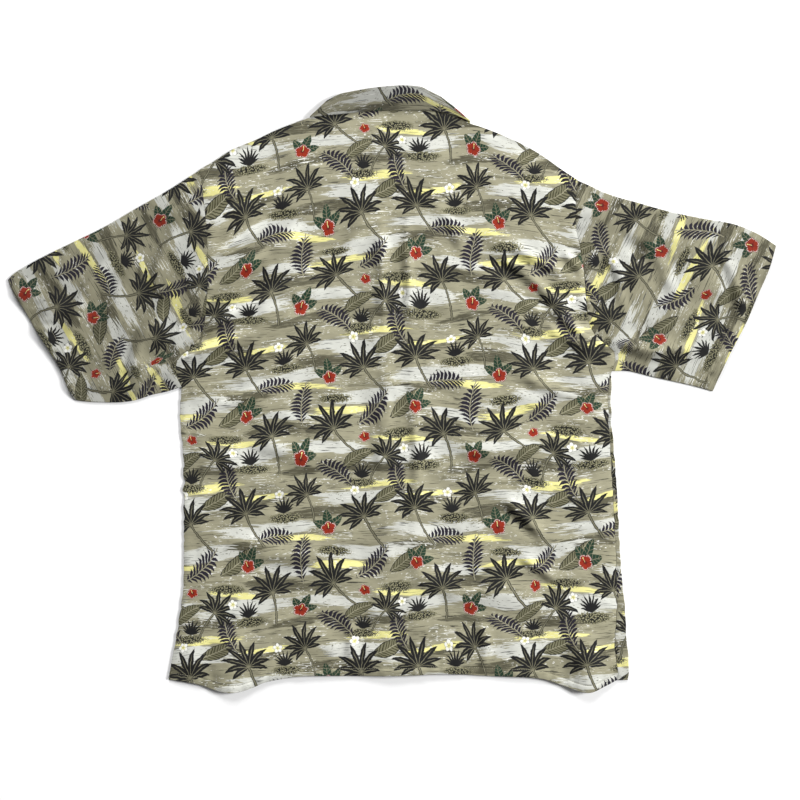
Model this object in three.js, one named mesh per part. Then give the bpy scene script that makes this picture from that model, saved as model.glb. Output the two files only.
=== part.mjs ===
// A short-sleeved aloha shirt with a turned-down collar, buttoned up and laid flat on its front,
// so that its back is uppermost. Millimetres. +Z is up, +Y points to the collar, and the origin
// lies under the middle of the outline, on the surface that the shirt rests on.
import * as THREE from "three";

// Cloth layers
const WALL = 1.2; // thickness of one layer of cloth
const SEAM_GAP = 0.3; // clearance between sewn pieces
const LAYER = WALL + SEAM_GAP; // rise from one layer to the next when they touch
const FLOOR_MID = WALL / 2; // middle of a layer that rests on the surface
const AIR = 1.6; // extra space between back and fronts away from the seams
const EDGE_REACH = 28; // distance from a closed edge at which that space is reached
const FOLD_R = LAYER / 2; // middle radius of a flattened fold

// Placket and buttons
const PLACKET_HALF = 17.5;
const PLACKET_SLOPE = 26; // width over which the cloth comes down beside the placket
const LAP_RISE = LAYER + 0.2; // from the left front up to the right front that laps over it
const BUTTON_R = 5.75;
const BUTTON_THICK = 2.0;
const BUTTON_COUNT = 6;
const BUTTON_TOP_Y = 258;
const BUTTON_PITCH = 98;
const BUTTON_SIDES = 14;
const BUTTON_LIFT = BUTTON_THICK + SEAM_GAP;
const FRONT_NECK_Y = 290; // bottom of the front neckline
const FRONT_HEM_Y = -384;

// Collar
const COLLAR_MIDDLE = [-4, 325];
const COLLAR_HALF = [125, 108]; // half sizes of the oval that the collar covers
const COLLAR_CLEAR = 0.9; // extra height of the back where it lies inside the collar
const COLLAR_FALL_RISE = LAYER + 0.2; // from the back up to the fall that lies on it
const COLLAR_SEAM = 1; // distance of the collar from the neckline

// Grid sizes
const SIDE_ROWS = 18; // from hem to armpit
const ARM_ROWS = 14; // from armpit to shoulder
const SLEEVE_STEPS = 10; // from armhole to cuff
const FOLD_STEPS = 3; // round a flattened fold
const TURN_STEPS = 4; // of the collar, round the side of the neck
// Shares of the back's half width, close together over the placket. One is where the neck ends.
const BACK_SHARES = [0, 0.045, 0.085, 0.125, 0.17, 0.225, 0.29, 0.36, 0.44, 0.53, 0.62, 0.71, 0.8, 0.9, 1];
const NECK_SHARE = 0.36;
const STAND_STEPS = 2;
const ROLL_STEPS = 4;
const FALL_STEPS = 3;
// Shares of a front's width, close together where the placket rises
const FRONT_SHARES = [0, 0.03, 0.06, 0.09, 0.12, 0.155, 0.2, 0.27, 0.38, 0.52, 0.68, 0.84, 1];
const WRAP_STEPS = 2; // columns of the front that turn over onto the back
const ROWS = SIDE_ROWS + ARM_ROWS;
const NECK_ROWS = 8; // of the front rows, those that end at the neckline

// Outline, each row [x, y]. "Left" is the left of the view from above, the wearer's left.
const OUTLINE = {
  hem: [
    [-302, -392], [-262, -399], [-235, -408], [-212, -410], [-189, -404], [-169, -396],
    [-127, -389], [-86, -388], [11, -388], [73, -386], [135, -389], [197, -392],
    [228, -401], [251, -409], [269, -411], [290, -402], [304, -395],
  ],
  leftSide: [
    [-302, -392], [-298, -371], [-290, -328], [-286, -301], [-282, -271], [-281, -231],
    [-281, -123], [-282, -85], [-285, -55], [-286, -28], [-284, 3],
  ],
  rightSide: [
    [319, -393], [320, -366], [317, -339], [315, -298], [311, -258], [308, -217],
    [306, -177], [304, -136], [301, -96], [299, -69], [297, -49], [296, -15], [297, 24],
  ],
  leftArmhole: [
    [-284, 3], [-291, 20], [-289, 39], [-272, 55], [-257, 76], [-251, 107],
    [-248, 160], [-250, 208], [-255, 262], [-260, 296],
  ],
  rightArmhole: [
    [297, 24], [301, 39], [298, 53], [281, 66], [267, 86], [262, 120],
    [259, 158], [254, 190], [248, 224], [248, 255], [251, 282],
  ],
  leftShoulder: [
    [-97, 372], [-112, 366], [-155, 350], [-185, 336], [-216, 323], [-238, 309], [-260, 296],
  ],
  rightShoulder: [
    [89, 366], [106, 358], [119, 354], [146, 344], [173, 332], [200, 317], [227, 298],
    [251, 282],
  ],
  leftSleeveTop: [
    [-260, 296], [-302, 269], [-346, 244], [-389, 219], [-432, 198], [-475, 177], [-508, 158],
    [-519, 148],
  ],
  leftSleeveUnder: [
    [-284, 3], [-302, -3], [-324, -8], [-346, -15], [-367, -18], [-394, -18], [-413, -17],
    [-427, -15],
  ],
  leftCuff: [
    [-427, -15], [-436, -3], [-448, 26], [-464, 53], [-481, 80], [-497, 107], [-510, 128],
    [-519, 148],
  ],
  rightSleeveTop: [
    [251, 282], [267, 275], [294, 263], [332, 252], [375, 240], [418, 231], [462, 223],
    [494, 210], [519, 194],
  ],
  rightSleeveUnder: [[297, 24], [321, 24], [354, 16], [386, 9], [408, 4], [433, -3]],
  rightCuff: [
    [433, -3], [441, 15], [452, 39], [466, 66], [480, 93], [491, 120], [503, 147],
    [511, 168], [519, 194],
  ],
};

// How far the right front turns over onto the back, from the hem up
const WRAP = [
  { y: -393, width: 14 }, { y: -352, width: 17.5 }, { y: -300, width: 11 }, { y: -270, width: 8 },
  { y: -220, width: 5 }, { y: -170, width: 5.4 }, { y: -120, width: 5.4 }, { y: -69, width: 4 },
  { y: -20, width: 3.4 }, { y: 24, width: 3.4 },
];

// Collar lines, each row [x, y]: where it is sewn on, where it rolls over and its outer edge
const COLLAR = {
  neckBack: [[-97, 372], [-50, 378], [0, 380], [46, 377], [89, 366]],
  neckFrontLeft: [[-97, 372], [-91, 345], [-66, 311], [-32, 294], [-1, FRONT_NECK_Y]],
  neckFrontRight: [[89, 366], [84, 341], [62, 310], [30, 294], [-1, FRONT_NECK_Y]],
  rollBack: [
    [-86, 390], [-70, 398], [-57, 401], [-30, 406], [-3, 409], [17, 410], [38, 408],
    [51, 402], [65, 395], [79, 384],
  ],
  rollFrontLeft: [[-86, 390], [-80, 358], [-57, 325], [-28, 307], [-3, 302]],
  rollFrontRight: [[79, 384], [74, 355], [53, 324], [26, 307], [1, 302]],
  edgeBack: [[-113, 371], [-70, 371], [-24, 375], [43, 376], [80, 371], [107, 362]],
  edgeFrontLeft: [[-113, 371], [-110, 330], [-88, 286], [-50, 240]],
  edgeFrontRight: [[107, 362], [104, 326], [83, 284], [48, 240]],
};

// Soft folds of the upper layer: a ridge along a bowed line, free at the end where it meets an edge
const FOLDS = [
  { from: [-100, 236], to: [-252, 132], bow: 10, rise: 5, half: 22, open: false },
  { from: [-92, 182], to: [-244, 52], bow: 14, rise: 6, half: 22, open: false },
  { from: [-170, 78], to: [-292, 30], bow: -6, rise: 6, half: 18, open: false },
  { from: [110, 232], to: [246, 142], bow: -12, rise: 5, half: 22, open: false },
  { from: [186, 124], to: [292, 44], bow: -8, rise: 6, half: 20, open: false },
  { from: [140, -138], to: [214, -204], bow: 4, rise: 3, half: 18, open: false },
  { from: [160, -222], to: [236, -262], bow: 4, rise: 2.5, half: 18, open: false },
  { from: [-222, -318], to: [-216, -409], bow: 0, rise: 5, half: 34, open: true },
  { from: [256, -320], to: [266, -410], bow: 0, rise: 6, half: 34, open: true },
  { from: [-336, 60], to: [-366, -26], bow: 4, rise: 4, half: 20, open: true },
  { from: [-400, 190], to: [-480, 60], bow: -10, rise: 3, half: 22, open: true },
  { from: [290, 66], to: [420, 56], bow: -6, rise: 5, half: 20, open: false },
  { from: [452, 190], to: [486, 96], bow: 6, rise: 3, half: 20, open: false },
];

const ease = (s) => THREE.MathUtils.smoothstep(s, 0, 1);
const mix = (a, b, s) => a + (b - a) * s;
const curveOf = (rows) => new THREE.SplineCurve(rows.map(([x, y]) => new THREE.Vector2(x, y)));
const spaced = (rows, count) => curveOf(rows).getSpacedPoints(count);
const centreX = (y) => 13 - 0.04 * Math.max(0, y + 60);

// 1 inside flat, falling softly to 0 over the slope
const plateau = (distance, flat, slope) => 1 - ease((distance - flat) / slope);

// Straight interpolation in a table whose rows rise in y
function widthAt(table, y) {
  const k = table.findIndex((row) => row.y >= y);
  if (k === 0) return table[0].width;
  if (k < 0) return table[table.length - 1].width;
  const [a, b] = [table[k - 1], table[k]];
  return mix(a.width, b.width, (y - a.y) / (b.y - a.y));
}

// Edges where the upper and lower layers join, and the distance of a point from them
const CLOSED_EDGES = [
  ["leftShoulder", "leftSleeveTop"], ["leftSleeveUnder"], ["leftSide"],
  ["rightShoulder", "rightSleeveTop"], ["rightSleeveUnder"], ["rightSide"],
].map((names) => names.flatMap((name) => spaced(OUTLINE[name], 24)));

function fromClosedEdge(x, y) {
  const point = new THREE.Vector3(x, y, 0);
  const near = new THREE.Vector3();
  const segment = new THREE.Line3();
  let least = Infinity;
  for (const edge of CLOSED_EDGES) {
    for (let k = 1; k < edge.length; k++) {
      segment.start.set(edge[k - 1].x, edge[k - 1].y, 0);
      segment.end.set(edge[k].x, edge[k].y, 0);
      segment.closestPointToPoint(point, true, near);
      least = Math.min(least, near.distanceTo(point));
    }
  }
  return least;
}

function inCollar(x, y) {
  const reach = Math.hypot((x - COLLAR_MIDDLE[0]) / COLLAR_HALF[0], (y - COLLAR_MIDDLE[1]) / COLLAR_HALF[1]);
  return plateau(reach, 1, 0.35);
}

// The placket widens to its end at the front neckline. The back comes down beside it more gently.
const nearPlacket = (x, y, slope, endY) =>
  plateau(Math.abs(x - centreX(y)), PLACKET_HALF + 4 + 24 * ease((y - 190) / 60), slope) * plateau(y, endY, 60);
function frontRise(x, y, slope) {
  const raised = mix(LAYER * inCollar(x, y), BUTTON_LIFT, nearPlacket(x, y, slope, 268));
  return { left: raised, right: raised + LAP_RISE * nearPlacket(x, y, slope, 296) };
}

function foldRise(x, y) {
  let sum = 0;
  for (const { from, to, bow, rise, half, open } of FOLDS) {
    const [dx, dy] = [to[0] - from[0], to[1] - from[1]];
    const length = Math.hypot(dx, dy);
    const t = ((x - from[0]) * dx + (y - from[1]) * dy) / length ** 2;
    if (t < 0 || (t > 1 && !open)) continue;
    const s = Math.min(1, t);
    const off = ((x - from[0]) * -dy + (y - from[1]) * dx) / length - bow * 4 * s * (1 - s);
    const taper = ease(s / 0.4) * (open ? 1 : ease((1 - s) / 0.4));
    sum += rise * taper * plateau(Math.abs(off), 0, half);
  }
  return sum;
}

// Heights of the middle of each layer
const leftFrontHeight = (x, y) => FLOOR_MID + frontRise(x, y, PLACKET_SLOPE).left;
const rightFrontHeight = (x, y) => FLOOR_MID + frontRise(x, y, PLACKET_SLOPE).right;
function backHeight(x, y) {
  const outside = 1 - inCollar(x, y);
  const base = FLOOR_MID + frontRise(x, y, 1.4 * PLACKET_SLOPE).right + LAYER + COLLAR_CLEAR * (1 - outside);
  const air = AIR * (1 - 0.6 * nearPlacket(x, y, 2 * PLACKET_SLOPE, 268)) + foldRise(x, y);
  return base + ease(fromClosedEdge(x, y) / EDGE_REACH) * outside * air;
}

// A closed wall round a grid of middle points, mid[row][column]. inCell leaves cells out, and a
// grid closed in its columns is a tube.
function wallOf(mid, { closed = false, inCell = () => true } = {}) {
  const rows = mid.length;
  const columns = mid[0].length;
  const cellColumns = closed ? columns : columns - 1;
  const wrap = (i) => (closed ? (i + columns) % columns : i);
  const cell = (i, j) =>
    j >= 0 && j < rows - 1 && (closed || (i >= 0 && i < cellColumns)) && inCell(wrap(i), j);
  const used = (i, j) => cell(i, j) || cell(i - 1, j) || cell(i, j - 1) || cell(i - 1, j - 1);
  const position = [];
  const index = new Map();
  for (let j = 0; j < rows; j++) {
    for (let i = 0; i < columns; i++) {
      if (!used(i, j)) continue;
      const east = cell(i, j) || cell(i, j - 1) ? mid[j][wrap(i + 1)] : mid[j][i];
      const west = cell(i - 1, j) || cell(i - 1, j - 1) ? mid[j][wrap(i - 1)] : mid[j][i];
      const north = cell(i, j) || cell(i - 1, j) ? mid[j + 1][i] : mid[j][i];
      const south = cell(i, j - 1) || cell(i - 1, j - 1) ? mid[j - 1][i] : mid[j][i];
      const normal = east.clone().sub(west).cross(north.clone().sub(south)).normalize();
      index.set(j * columns + i, position.length / 3);
      position.push(...mid[j][i].clone().addScaledVector(normal, WALL / 2).toArray());
      position.push(...mid[j][i].clone().addScaledVector(normal, -WALL / 2).toArray());
    }
  }
  const triangles = [];
  const top = (i, j) => index.get(j * columns + wrap(i));
  const under = (i, j) => top(i, j) + 1;
  const quad = (a, b, c, d, crossed = false) =>
    (crossed ? triangles.push(a, b, d, b, c, d) : triangles.push(a, b, c, a, c, d));
  const rim = (i0, j0, i1, j1) => quad(under(i0, j0), under(i1, j1), top(i1, j1), top(i0, j0));
  for (let j = 0; j < rows - 1; j++) {
    for (let i = 0; i < cellColumns; i++) {
      if (!cell(i, j)) continue;
      const next = wrap(i + 1);
      const crossed = mid[j][i].distanceTo(mid[j + 1][next]) > mid[j][next].distanceTo(mid[j + 1][i]);
      quad(top(i, j), top(i + 1, j), top(i + 1, j + 1), top(i, j + 1), crossed);
      quad(under(i, j), under(i, j + 1), under(i + 1, j + 1), under(i + 1, j), crossed);
      if (!cell(i, j - 1)) rim(i, j, i + 1, j);
      if (!cell(i + 1, j)) rim(i + 1, j, i + 1, j + 1);
      if (!cell(i, j + 1)) rim(i + 1, j + 1, i, j + 1);
      if (!cell(i - 1, j)) rim(i, j + 1, i, j);
    }
  }
  const geometry = new THREE.BufferGeometry();
  geometry.setAttribute("position", new THREE.Float32BufferAttribute(position, 3));
  geometry.setIndex(triangles);
  geometry.computeVertexNormals();
  return geometry;
}

// Plan points that fill four boundary curves, grid[row][column]
function filled({ bottom, top, left, right }, shares) {
  const last = left.length - 1;
  const corner = { sw: bottom[0], se: bottom.at(-1), nw: top[0], ne: top.at(-1) };
  return left.map((west, j) => {
    const v = j / last;
    return shares.map((u, i) => {
      const blend = (axis) =>
        mix(bottom[i][axis], top[i][axis], v) + mix(west[axis], right[j][axis], u) -
        mix(mix(corner.sw[axis], corner.se[axis], u), mix(corner.nw[axis], corner.ne[axis], u), v);
      return new THREE.Vector2(blend("x"), blend("y"));
    });
  });
}

const lifted = (p, height) => new THREE.Vector3(p.x, p.y, height(p.x, p.y));
const raised = (grid, height) => grid.map((row) => row.map((p) => lifted(p, height)));
function atShares(rows, shares) {
  const curve = curveOf(rows);
  return shares.map((u) => curve.getPointAt(u));
}
const joined = (...parts) => parts.flatMap((part, k) => (k ? part.slice(1) : part));
const evenly = (count) => Array.from({ length: count + 1 }, (_, k) => k / count);

// A body side, from hem to armpit and then round the armhole to the shoulder
const sideOf = (side, armhole) => joined(spaced(side, SIDE_ROWS), spaced(armhole, ARM_ROWS));

function rightSeam() {
  return spaced(OUTLINE.rightSide, SIDE_ROWS).map((p, j) =>
    j < SIDE_ROWS ? new THREE.Vector2(p.x - widthAt(WRAP, p.y) - SEAM_GAP, p.y) : p);
}

function backPanel() {
  const halves = [...BACK_SHARES.slice(1).reverse().map((share) => -share), ...BACK_SHARES];
  const neck = curveOf(COLLAR.neckBack);
  const top = halves.map((half) => {
    if (Math.abs(half) <= NECK_SHARE) return neck.getPointAt((1 + half / NECK_SHARE) / 2);
    const shoulder = curveOf(half < 0 ? OUTLINE.leftShoulder : OUTLINE.rightShoulder);
    return shoulder.getPointAt((Math.abs(half) - NECK_SHARE) / (1 - NECK_SHARE));
  });
  const shares = halves.map((half) => (1 + half) / 2);
  const grid = filled({
    bottom: atShares(OUTLINE.hem, shares),
    top,
    left: sideOf(OUTLINE.leftSide, OUTLINE.leftArmhole),
    right: joined(rightSeam(), spaced(OUTLINE.rightArmhole, ARM_ROWS)),
  }, shares);
  return wallOf(raised(grid, backHeight));
}

// The front's inner boundary: its edge at the placket and then the neckline, up to the shoulder
function innerEdge(edgeX, neckline) {
  const straight = evenly(ROWS - NECK_ROWS).map((s) => {
    const y = mix(FRONT_HEM_Y, FRONT_NECK_Y, s);
    return new THREE.Vector2(edgeX(y), y);
  });
  return joined(straight, spaced([...neckline].reverse(), NECK_ROWS));
}

// The front's hem is hidden just inside the back's, but for the corner at the side seam
const frontHem = (from, to, shares) => shares.map((u) => {
  const dip = mix(from.y, to.y, u);
  return new THREE.Vector2(mix(from.x, to.x, u), mix(dip, FRONT_HEM_Y, ease(8 * Math.min(u, 1 - u))));
});

function leftFront() {
  const shares = [...FRONT_SHARES].map((u) => 1 - u).reverse();
  const inner = innerEdge((y) => centreX(y) + PLACKET_HALF, COLLAR.neckFrontLeft);
  const side = sideOf(OUTLINE.leftSide, OUTLINE.leftArmhole);
  const grid = filled({
    bottom: frontHem(side[0], inner[0], shares),
    top: atShares([...OUTLINE.leftShoulder].reverse(), shares),
    left: side,
    right: inner,
  }, shares);
  return wallOf(raised(grid, leftFrontHeight));
}

function rightFront() {
  const inset = FOLD_R + WALL / 2; // the fold's outer face lies on the outline
  const inner = innerEdge((y) => centreX(y) - PLACKET_HALF, COLLAR.neckFrontRight);
  const side = sideOf(OUTLINE.rightSide, OUTLINE.rightArmhole);
  const turned = (j) => j < SIDE_ROWS; // rows whose edge turns over onto the back
  const flatSide = side.map((p, j) => (turned(j) ? new THREE.Vector2(p.x - inset, p.y) : p));
  const grid = filled({
    bottom: frontHem(inner[0], flatSide[0], FRONT_SHARES),
    top: atShares(OUTLINE.rightShoulder, FRONT_SHARES),
    left: inner,
    right: flatSide,
  }, FRONT_SHARES);
  const mid = raised(grid, rightFrontHeight);
  mid.forEach((row, j) => {
    const { x, y } = flatSide[j];
    for (let k = 1; k <= FOLD_STEPS; k++) {
      const turn = (Math.PI * k) / FOLD_STEPS;
      row.push(new THREE.Vector3(x + FOLD_R * Math.sin(turn), y, FLOOR_MID + FOLD_R * (1 - Math.cos(turn))));
    }
    for (let k = 1; k <= WRAP_STEPS; k++) {
      const inward = ((widthAt(WRAP, y) - inset) * k) / WRAP_STEPS;
      row.push(new THREE.Vector3(x - inward, y, backHeight(x - inward, y)));
    }
  });
  const flatColumns = FRONT_SHARES.length - 1;
  return wallOf(mid, { inCell: (i, j) => i < flatColumns || j < SIDE_ROWS - 1 });
}

// A sleeve is a flattened tube: its lower layer, the fold along its top edge, its upper layer and
// the underarm seam, from the armhole to the open cuff.
function sleeve(armhole, topEdge, underEdge, cuff, outward) {
  const shares = evenly(ARM_ROWS);
  const plan = filled({
    bottom: atShares(armhole, shares),
    top: atShares(cuff, shares),
    left: spaced(underEdge, SLEEVE_STEPS),
    right: spaced(topEdge, SLEEVE_STEPS),
  }, shares);
  const inset = FOLD_R + WALL / 2;
  const rings = plan.map((row, j) => {
    const points = row.map((p) => p.clone());
    if (j === 0) points.forEach((p, i) => p.add(plan[1][i].clone().sub(p).setLength(SEAM_GAP + 0.35)));
    const toTop = row.at(-1).clone().sub(row.at(-2)).normalize();
    const toUnder = row[0].clone().sub(row[1]).normalize();
    points.at(-1).addScaledVector(toTop, -inset);
    points[0].addScaledVector(toUnder, -inset);
    const lower = points.map((p) => lifted(p, leftFrontHeight));
    const upper = points.map((p) => lifted(p, backHeight));
    const foldAt = (from, to, direction) => evenly(FOLD_STEPS).slice(1, -1).map((s) => {
      const radius = (to.z - from.z) / 2;
      const swing = Math.PI * s;
      const out = direction.clone().multiplyScalar(Math.abs(radius) * Math.sin(swing));
      return new THREE.Vector3(from.x + out.x, from.y + out.y, from.z + radius * (1 - Math.cos(swing)));
    });
    return [
      ...lower, ...foldAt(lower.at(-1), upper.at(-1), toTop),
      ...upper.reverse(), ...foldAt(upper.at(-1), lower[0], toUnder),
    ];
  });
  return wallOf(outward < 0 ? rings : rings.map((ring) => [...ring].reverse()), { closed: true });
}

// The collar is one band, sewn to the neckline, rising as a stand, rolling over and falling back.
// A station lies at a share of the back half or of the front half of the neckline, on either side.
// At the side of the neck it turns from the back's level down to the front's.
const BACK_STATIONS = [0, 0.24, 0.46, 0.66, 0.84, 1];
function collar() {
  const lines = Object.fromEntries(Object.entries(COLLAR).map(([name, rows]) => [name, curveOf(rows)]));
  const backStand = FLOOR_MID + 2 * LAYER + COLLAR_CLEAR;
  const levels = {
    stand: { front: FLOOR_MID + LAYER, back: backStand },
    fall: { front: FLOOR_MID, back: backStand + COLLAR_FALL_RISE },
  };
  const half = (side) => {
    const front = side < 0 ? "FrontLeft" : "FrontRight";
    const turns = evenly(TURN_STEPS).slice(1, -1).map((s) => Math.PI * s);
    return [
      ...BACK_STATIONS.map((share) => ({ side, part: "Back", at: (1 + side * share) / 2, turn: 0 })),
      ...turns.map((turn) => ({ side, part: "Back", at: (1 + side) / 2, turn })),
      ...evenly(NECK_ROWS).map((at) => ({ side, part: front, at, turn: Math.PI })),
    ];
  };
  const stations = [...half(-1).reverse(), ...half(1).slice(1)];
  const mid = stations.map(({ side, part, at, turn }) => {
    const [neck, roll, edge] = ["neck", "roll", "edge"].map((name) => {
      const p = lines[name + part].getPointAt(at);
      return new THREE.Vector3(p.x, p.y, 0);
    });
    // a point at its level, moved out from the neck while the band turns round the side
    const placed = (point, level, along) => {
      const away = new THREE.Vector3(-along.y, along.x, 0).multiplyScalar(-side);
      const radius = (level.back - level.front) / 2;
      const z = (level.back + level.front) / 2 + radius * Math.cos(turn);
      return point.clone().setZ(z).addScaledVector(away, radius * Math.sin(turn));
    };
    const up = roll.clone().sub(neck).normalize();
    const down = edge.clone().sub(roll).normalize();
    const reach = roll.clone().addScaledVector(up, -(LAYER + WALL) / 2);
    const foot = placed(neck.clone().addScaledVector(up, COLLAR_SEAM), levels.stand, up);
    const standTop = placed(reach, levels.stand, up);
    const fallTop = placed(reach, levels.fall, up);
    const fallEdge = placed(edge, levels.fall, down.clone().negate());
    const hub = standTop.clone().lerp(fallTop, 0.5);
    const arm = standTop.clone().sub(hub);
    const rolled = evenly(ROLL_STEPS).map((s) => hub.clone()
      .addScaledVector(arm, Math.cos(Math.PI * s))
      .addScaledVector(up, arm.length() * Math.sin(Math.PI * s)));
    const between = (a, b, count) => evenly(count).map((s) => a.clone().lerp(b, s));
    return joined(between(foot, standTop, STAND_STEPS), rolled, between(fallTop, fallEdge, FALL_STEPS));
  });
  const last = mid.length - 1;
  mid[0].forEach((p) => { p.x -= 0.5; }); // the two ends meet at the centre front without touching
  mid[last].forEach((p) => { p.x += 0.5; });
  return wallOf(mid.map((row) => [...row].reverse()));
}

// A round button with a raised rim, its face down
function button() {
  const rim = 1.1;
  const dish = 0.6;
  const profile = [
    { r: 0, z: dish }, { r: BUTTON_R - rim - 0.6, z: dish },
    { r: BUTTON_R - rim, z: 0 }, { r: BUTTON_R - 0.3, z: 0 },
    { r: BUTTON_R, z: 0.6 }, { r: BUTTON_R - 0.4, z: BUTTON_THICK }, { r: 0, z: BUTTON_THICK },
  ].map(({ r, z }) => new THREE.Vector2(r, z));
  return new THREE.LatheGeometry(profile, BUTTON_SIDES).rotateX(Math.PI / 2);
}

const coloured = (color, roughness) => new THREE.MeshStandardMaterial({ color, roughness, metalness: 0 });
const CLOTH = coloured("#a8a48a", 0.85);
const BUTTON_SHELL = coloured("#6f5b42", 0.4);

const shirt = new THREE.Group();
function add(name, geometry, material) {
  const mesh = new THREE.Mesh(geometry, material);
  mesh.name = name;
  shirt.add(mesh);
  return mesh;
}

const { leftArmhole, leftSleeveTop, leftSleeveUnder, leftCuff } = OUTLINE;
const { rightArmhole, rightSleeveTop, rightSleeveUnder, rightCuff } = OUTLINE;
add("back", backPanel(), CLOTH);
add("front_left", leftFront(), CLOTH);
add("front_right", rightFront(), CLOTH);
add("sleeve_left", sleeve(leftArmhole, leftSleeveTop, leftSleeveUnder, leftCuff, -1), CLOTH);
add("sleeve_right", sleeve(rightArmhole, rightSleeveTop, rightSleeveUnder, rightCuff, 1), CLOTH);
add("collar", collar(), CLOTH);
for (let k = 0; k < BUTTON_COUNT; k++) {
  const y = BUTTON_TOP_Y - k * BUTTON_PITCH;
  add(`button_${k + 1}`, button(), BUTTON_SHELL).position.set(centreX(y), y, 0);
}

export default shirt;
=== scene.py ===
"""A short-sleeved aloha shirt laid flat on its front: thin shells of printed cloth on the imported
solids, with seams, turned hems, stitching and creases. Sizes are in millimetres until a mesh is
made. +Z is up and +Y points to the collar."""
import math

import bpy
import numpy as np
from mathutils import Matrix


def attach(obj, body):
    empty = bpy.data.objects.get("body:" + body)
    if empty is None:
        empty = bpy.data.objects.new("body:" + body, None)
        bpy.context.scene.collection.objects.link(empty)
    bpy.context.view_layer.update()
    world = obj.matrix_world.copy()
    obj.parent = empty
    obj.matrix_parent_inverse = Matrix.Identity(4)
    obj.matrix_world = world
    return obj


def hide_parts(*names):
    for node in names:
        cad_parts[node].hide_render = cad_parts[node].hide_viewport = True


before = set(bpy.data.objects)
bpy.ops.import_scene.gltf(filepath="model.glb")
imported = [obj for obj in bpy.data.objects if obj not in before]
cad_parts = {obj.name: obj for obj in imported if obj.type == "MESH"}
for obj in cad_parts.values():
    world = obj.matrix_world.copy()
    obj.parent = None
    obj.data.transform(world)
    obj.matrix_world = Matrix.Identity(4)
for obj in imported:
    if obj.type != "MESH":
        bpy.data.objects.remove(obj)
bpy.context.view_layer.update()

# Cloth layers, as in the solids, with a thinner wall
CLOTH = 0.8  # thickness of one layer
WALL = 1.2  # thickness of one layer of the solids
GAP = 0.3  # between two layers of the solids
LAYER = WALL + GAP
FLOOR = 0.42  # middle of a layer that rests on the surface
AIR = 1.6  # extra space between back and fronts away from the seams
EDGE_REACH = 28  # distance from a closed edge at which that space is reached
FOLD_R = LAYER / 2
SEAM_GAP = 0.45
SIDE_SEAM_GAP = 0.7
SIDE_SEAM_DIP = 0.4
PANEL_LENGTH = 711  # of a side and an armhole together

# Placket and buttons
PLACKET_HALF = 17.5
PLACKET_SLOPE = 26
PLACKET_END_Y = 268
LAP_END_Y = 296
LAP_RISE = LAYER + 0.2
BUTTON_R = 5.75
BUTTON_THICK = 2.0
HOLE_AT = 1.25  # distance of a button's four holes from its middle, each way
HOLE_R = 0.62
HOLE_HALF = 7.6  # half length of a buttonhole
BUTTON_COUNT = 6
BUTTON_TOP_Y = 258
BUTTON_PITCH = 98
BUTTON_LIFT = BUTTON_THICK + GAP
FRONT_NECK_Y = 290
FRONT_HEM_Y = -384

# Collar
COLLAR_MIDDLE = (-4, 325)
COLLAR_HALF = (125, 108)
COLLAR_CLEAR = 0.9
COLLAR_FALL_RISE = LAYER + 0.2
COLLAR_THICK = 1.1

# Shares of the solids' rows and columns
SIDE_SHARE = 18 / 32  # of a panel's rows, those below the armpit
NECK_ROW_SHARE = 24 / 32  # of a front's rows, those below its neckline
NECK_SHARE = 0.36  # of the back's half width, the part that is sewn to the collar

# Painted shade: how bright the cloth of a piece is painted against the back, and how much darker its
# turned edges are painted
PIECE_PAINTED_SHADE = {"left_sleeve": 0.69, "right_sleeve": 0.82, "collar": 0.5, "side_strip": 0.84}
EDGE_PAINTED_SHADE = 0.22
EDGE_PAINTED_SHADE_WIDTH = 7

# Print: its repeat across and up, the weave, and how far up the fronts' print lies from the back's
REPEAT = (230, 207)
THREAD_PITCH = 0.55
FRONT_PRINT_UP = 34

# Turned hem and cuffs, with their stitching at 1 mm from the inner edge
HEM_TURN = 10
CUFF_TURN = 24

# Stitched rows on a front's band and on the collar's fall: distances from the edge
BAND_ROWS = (5.3, 30.0)
COLLAR_ROW = 5.5

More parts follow.
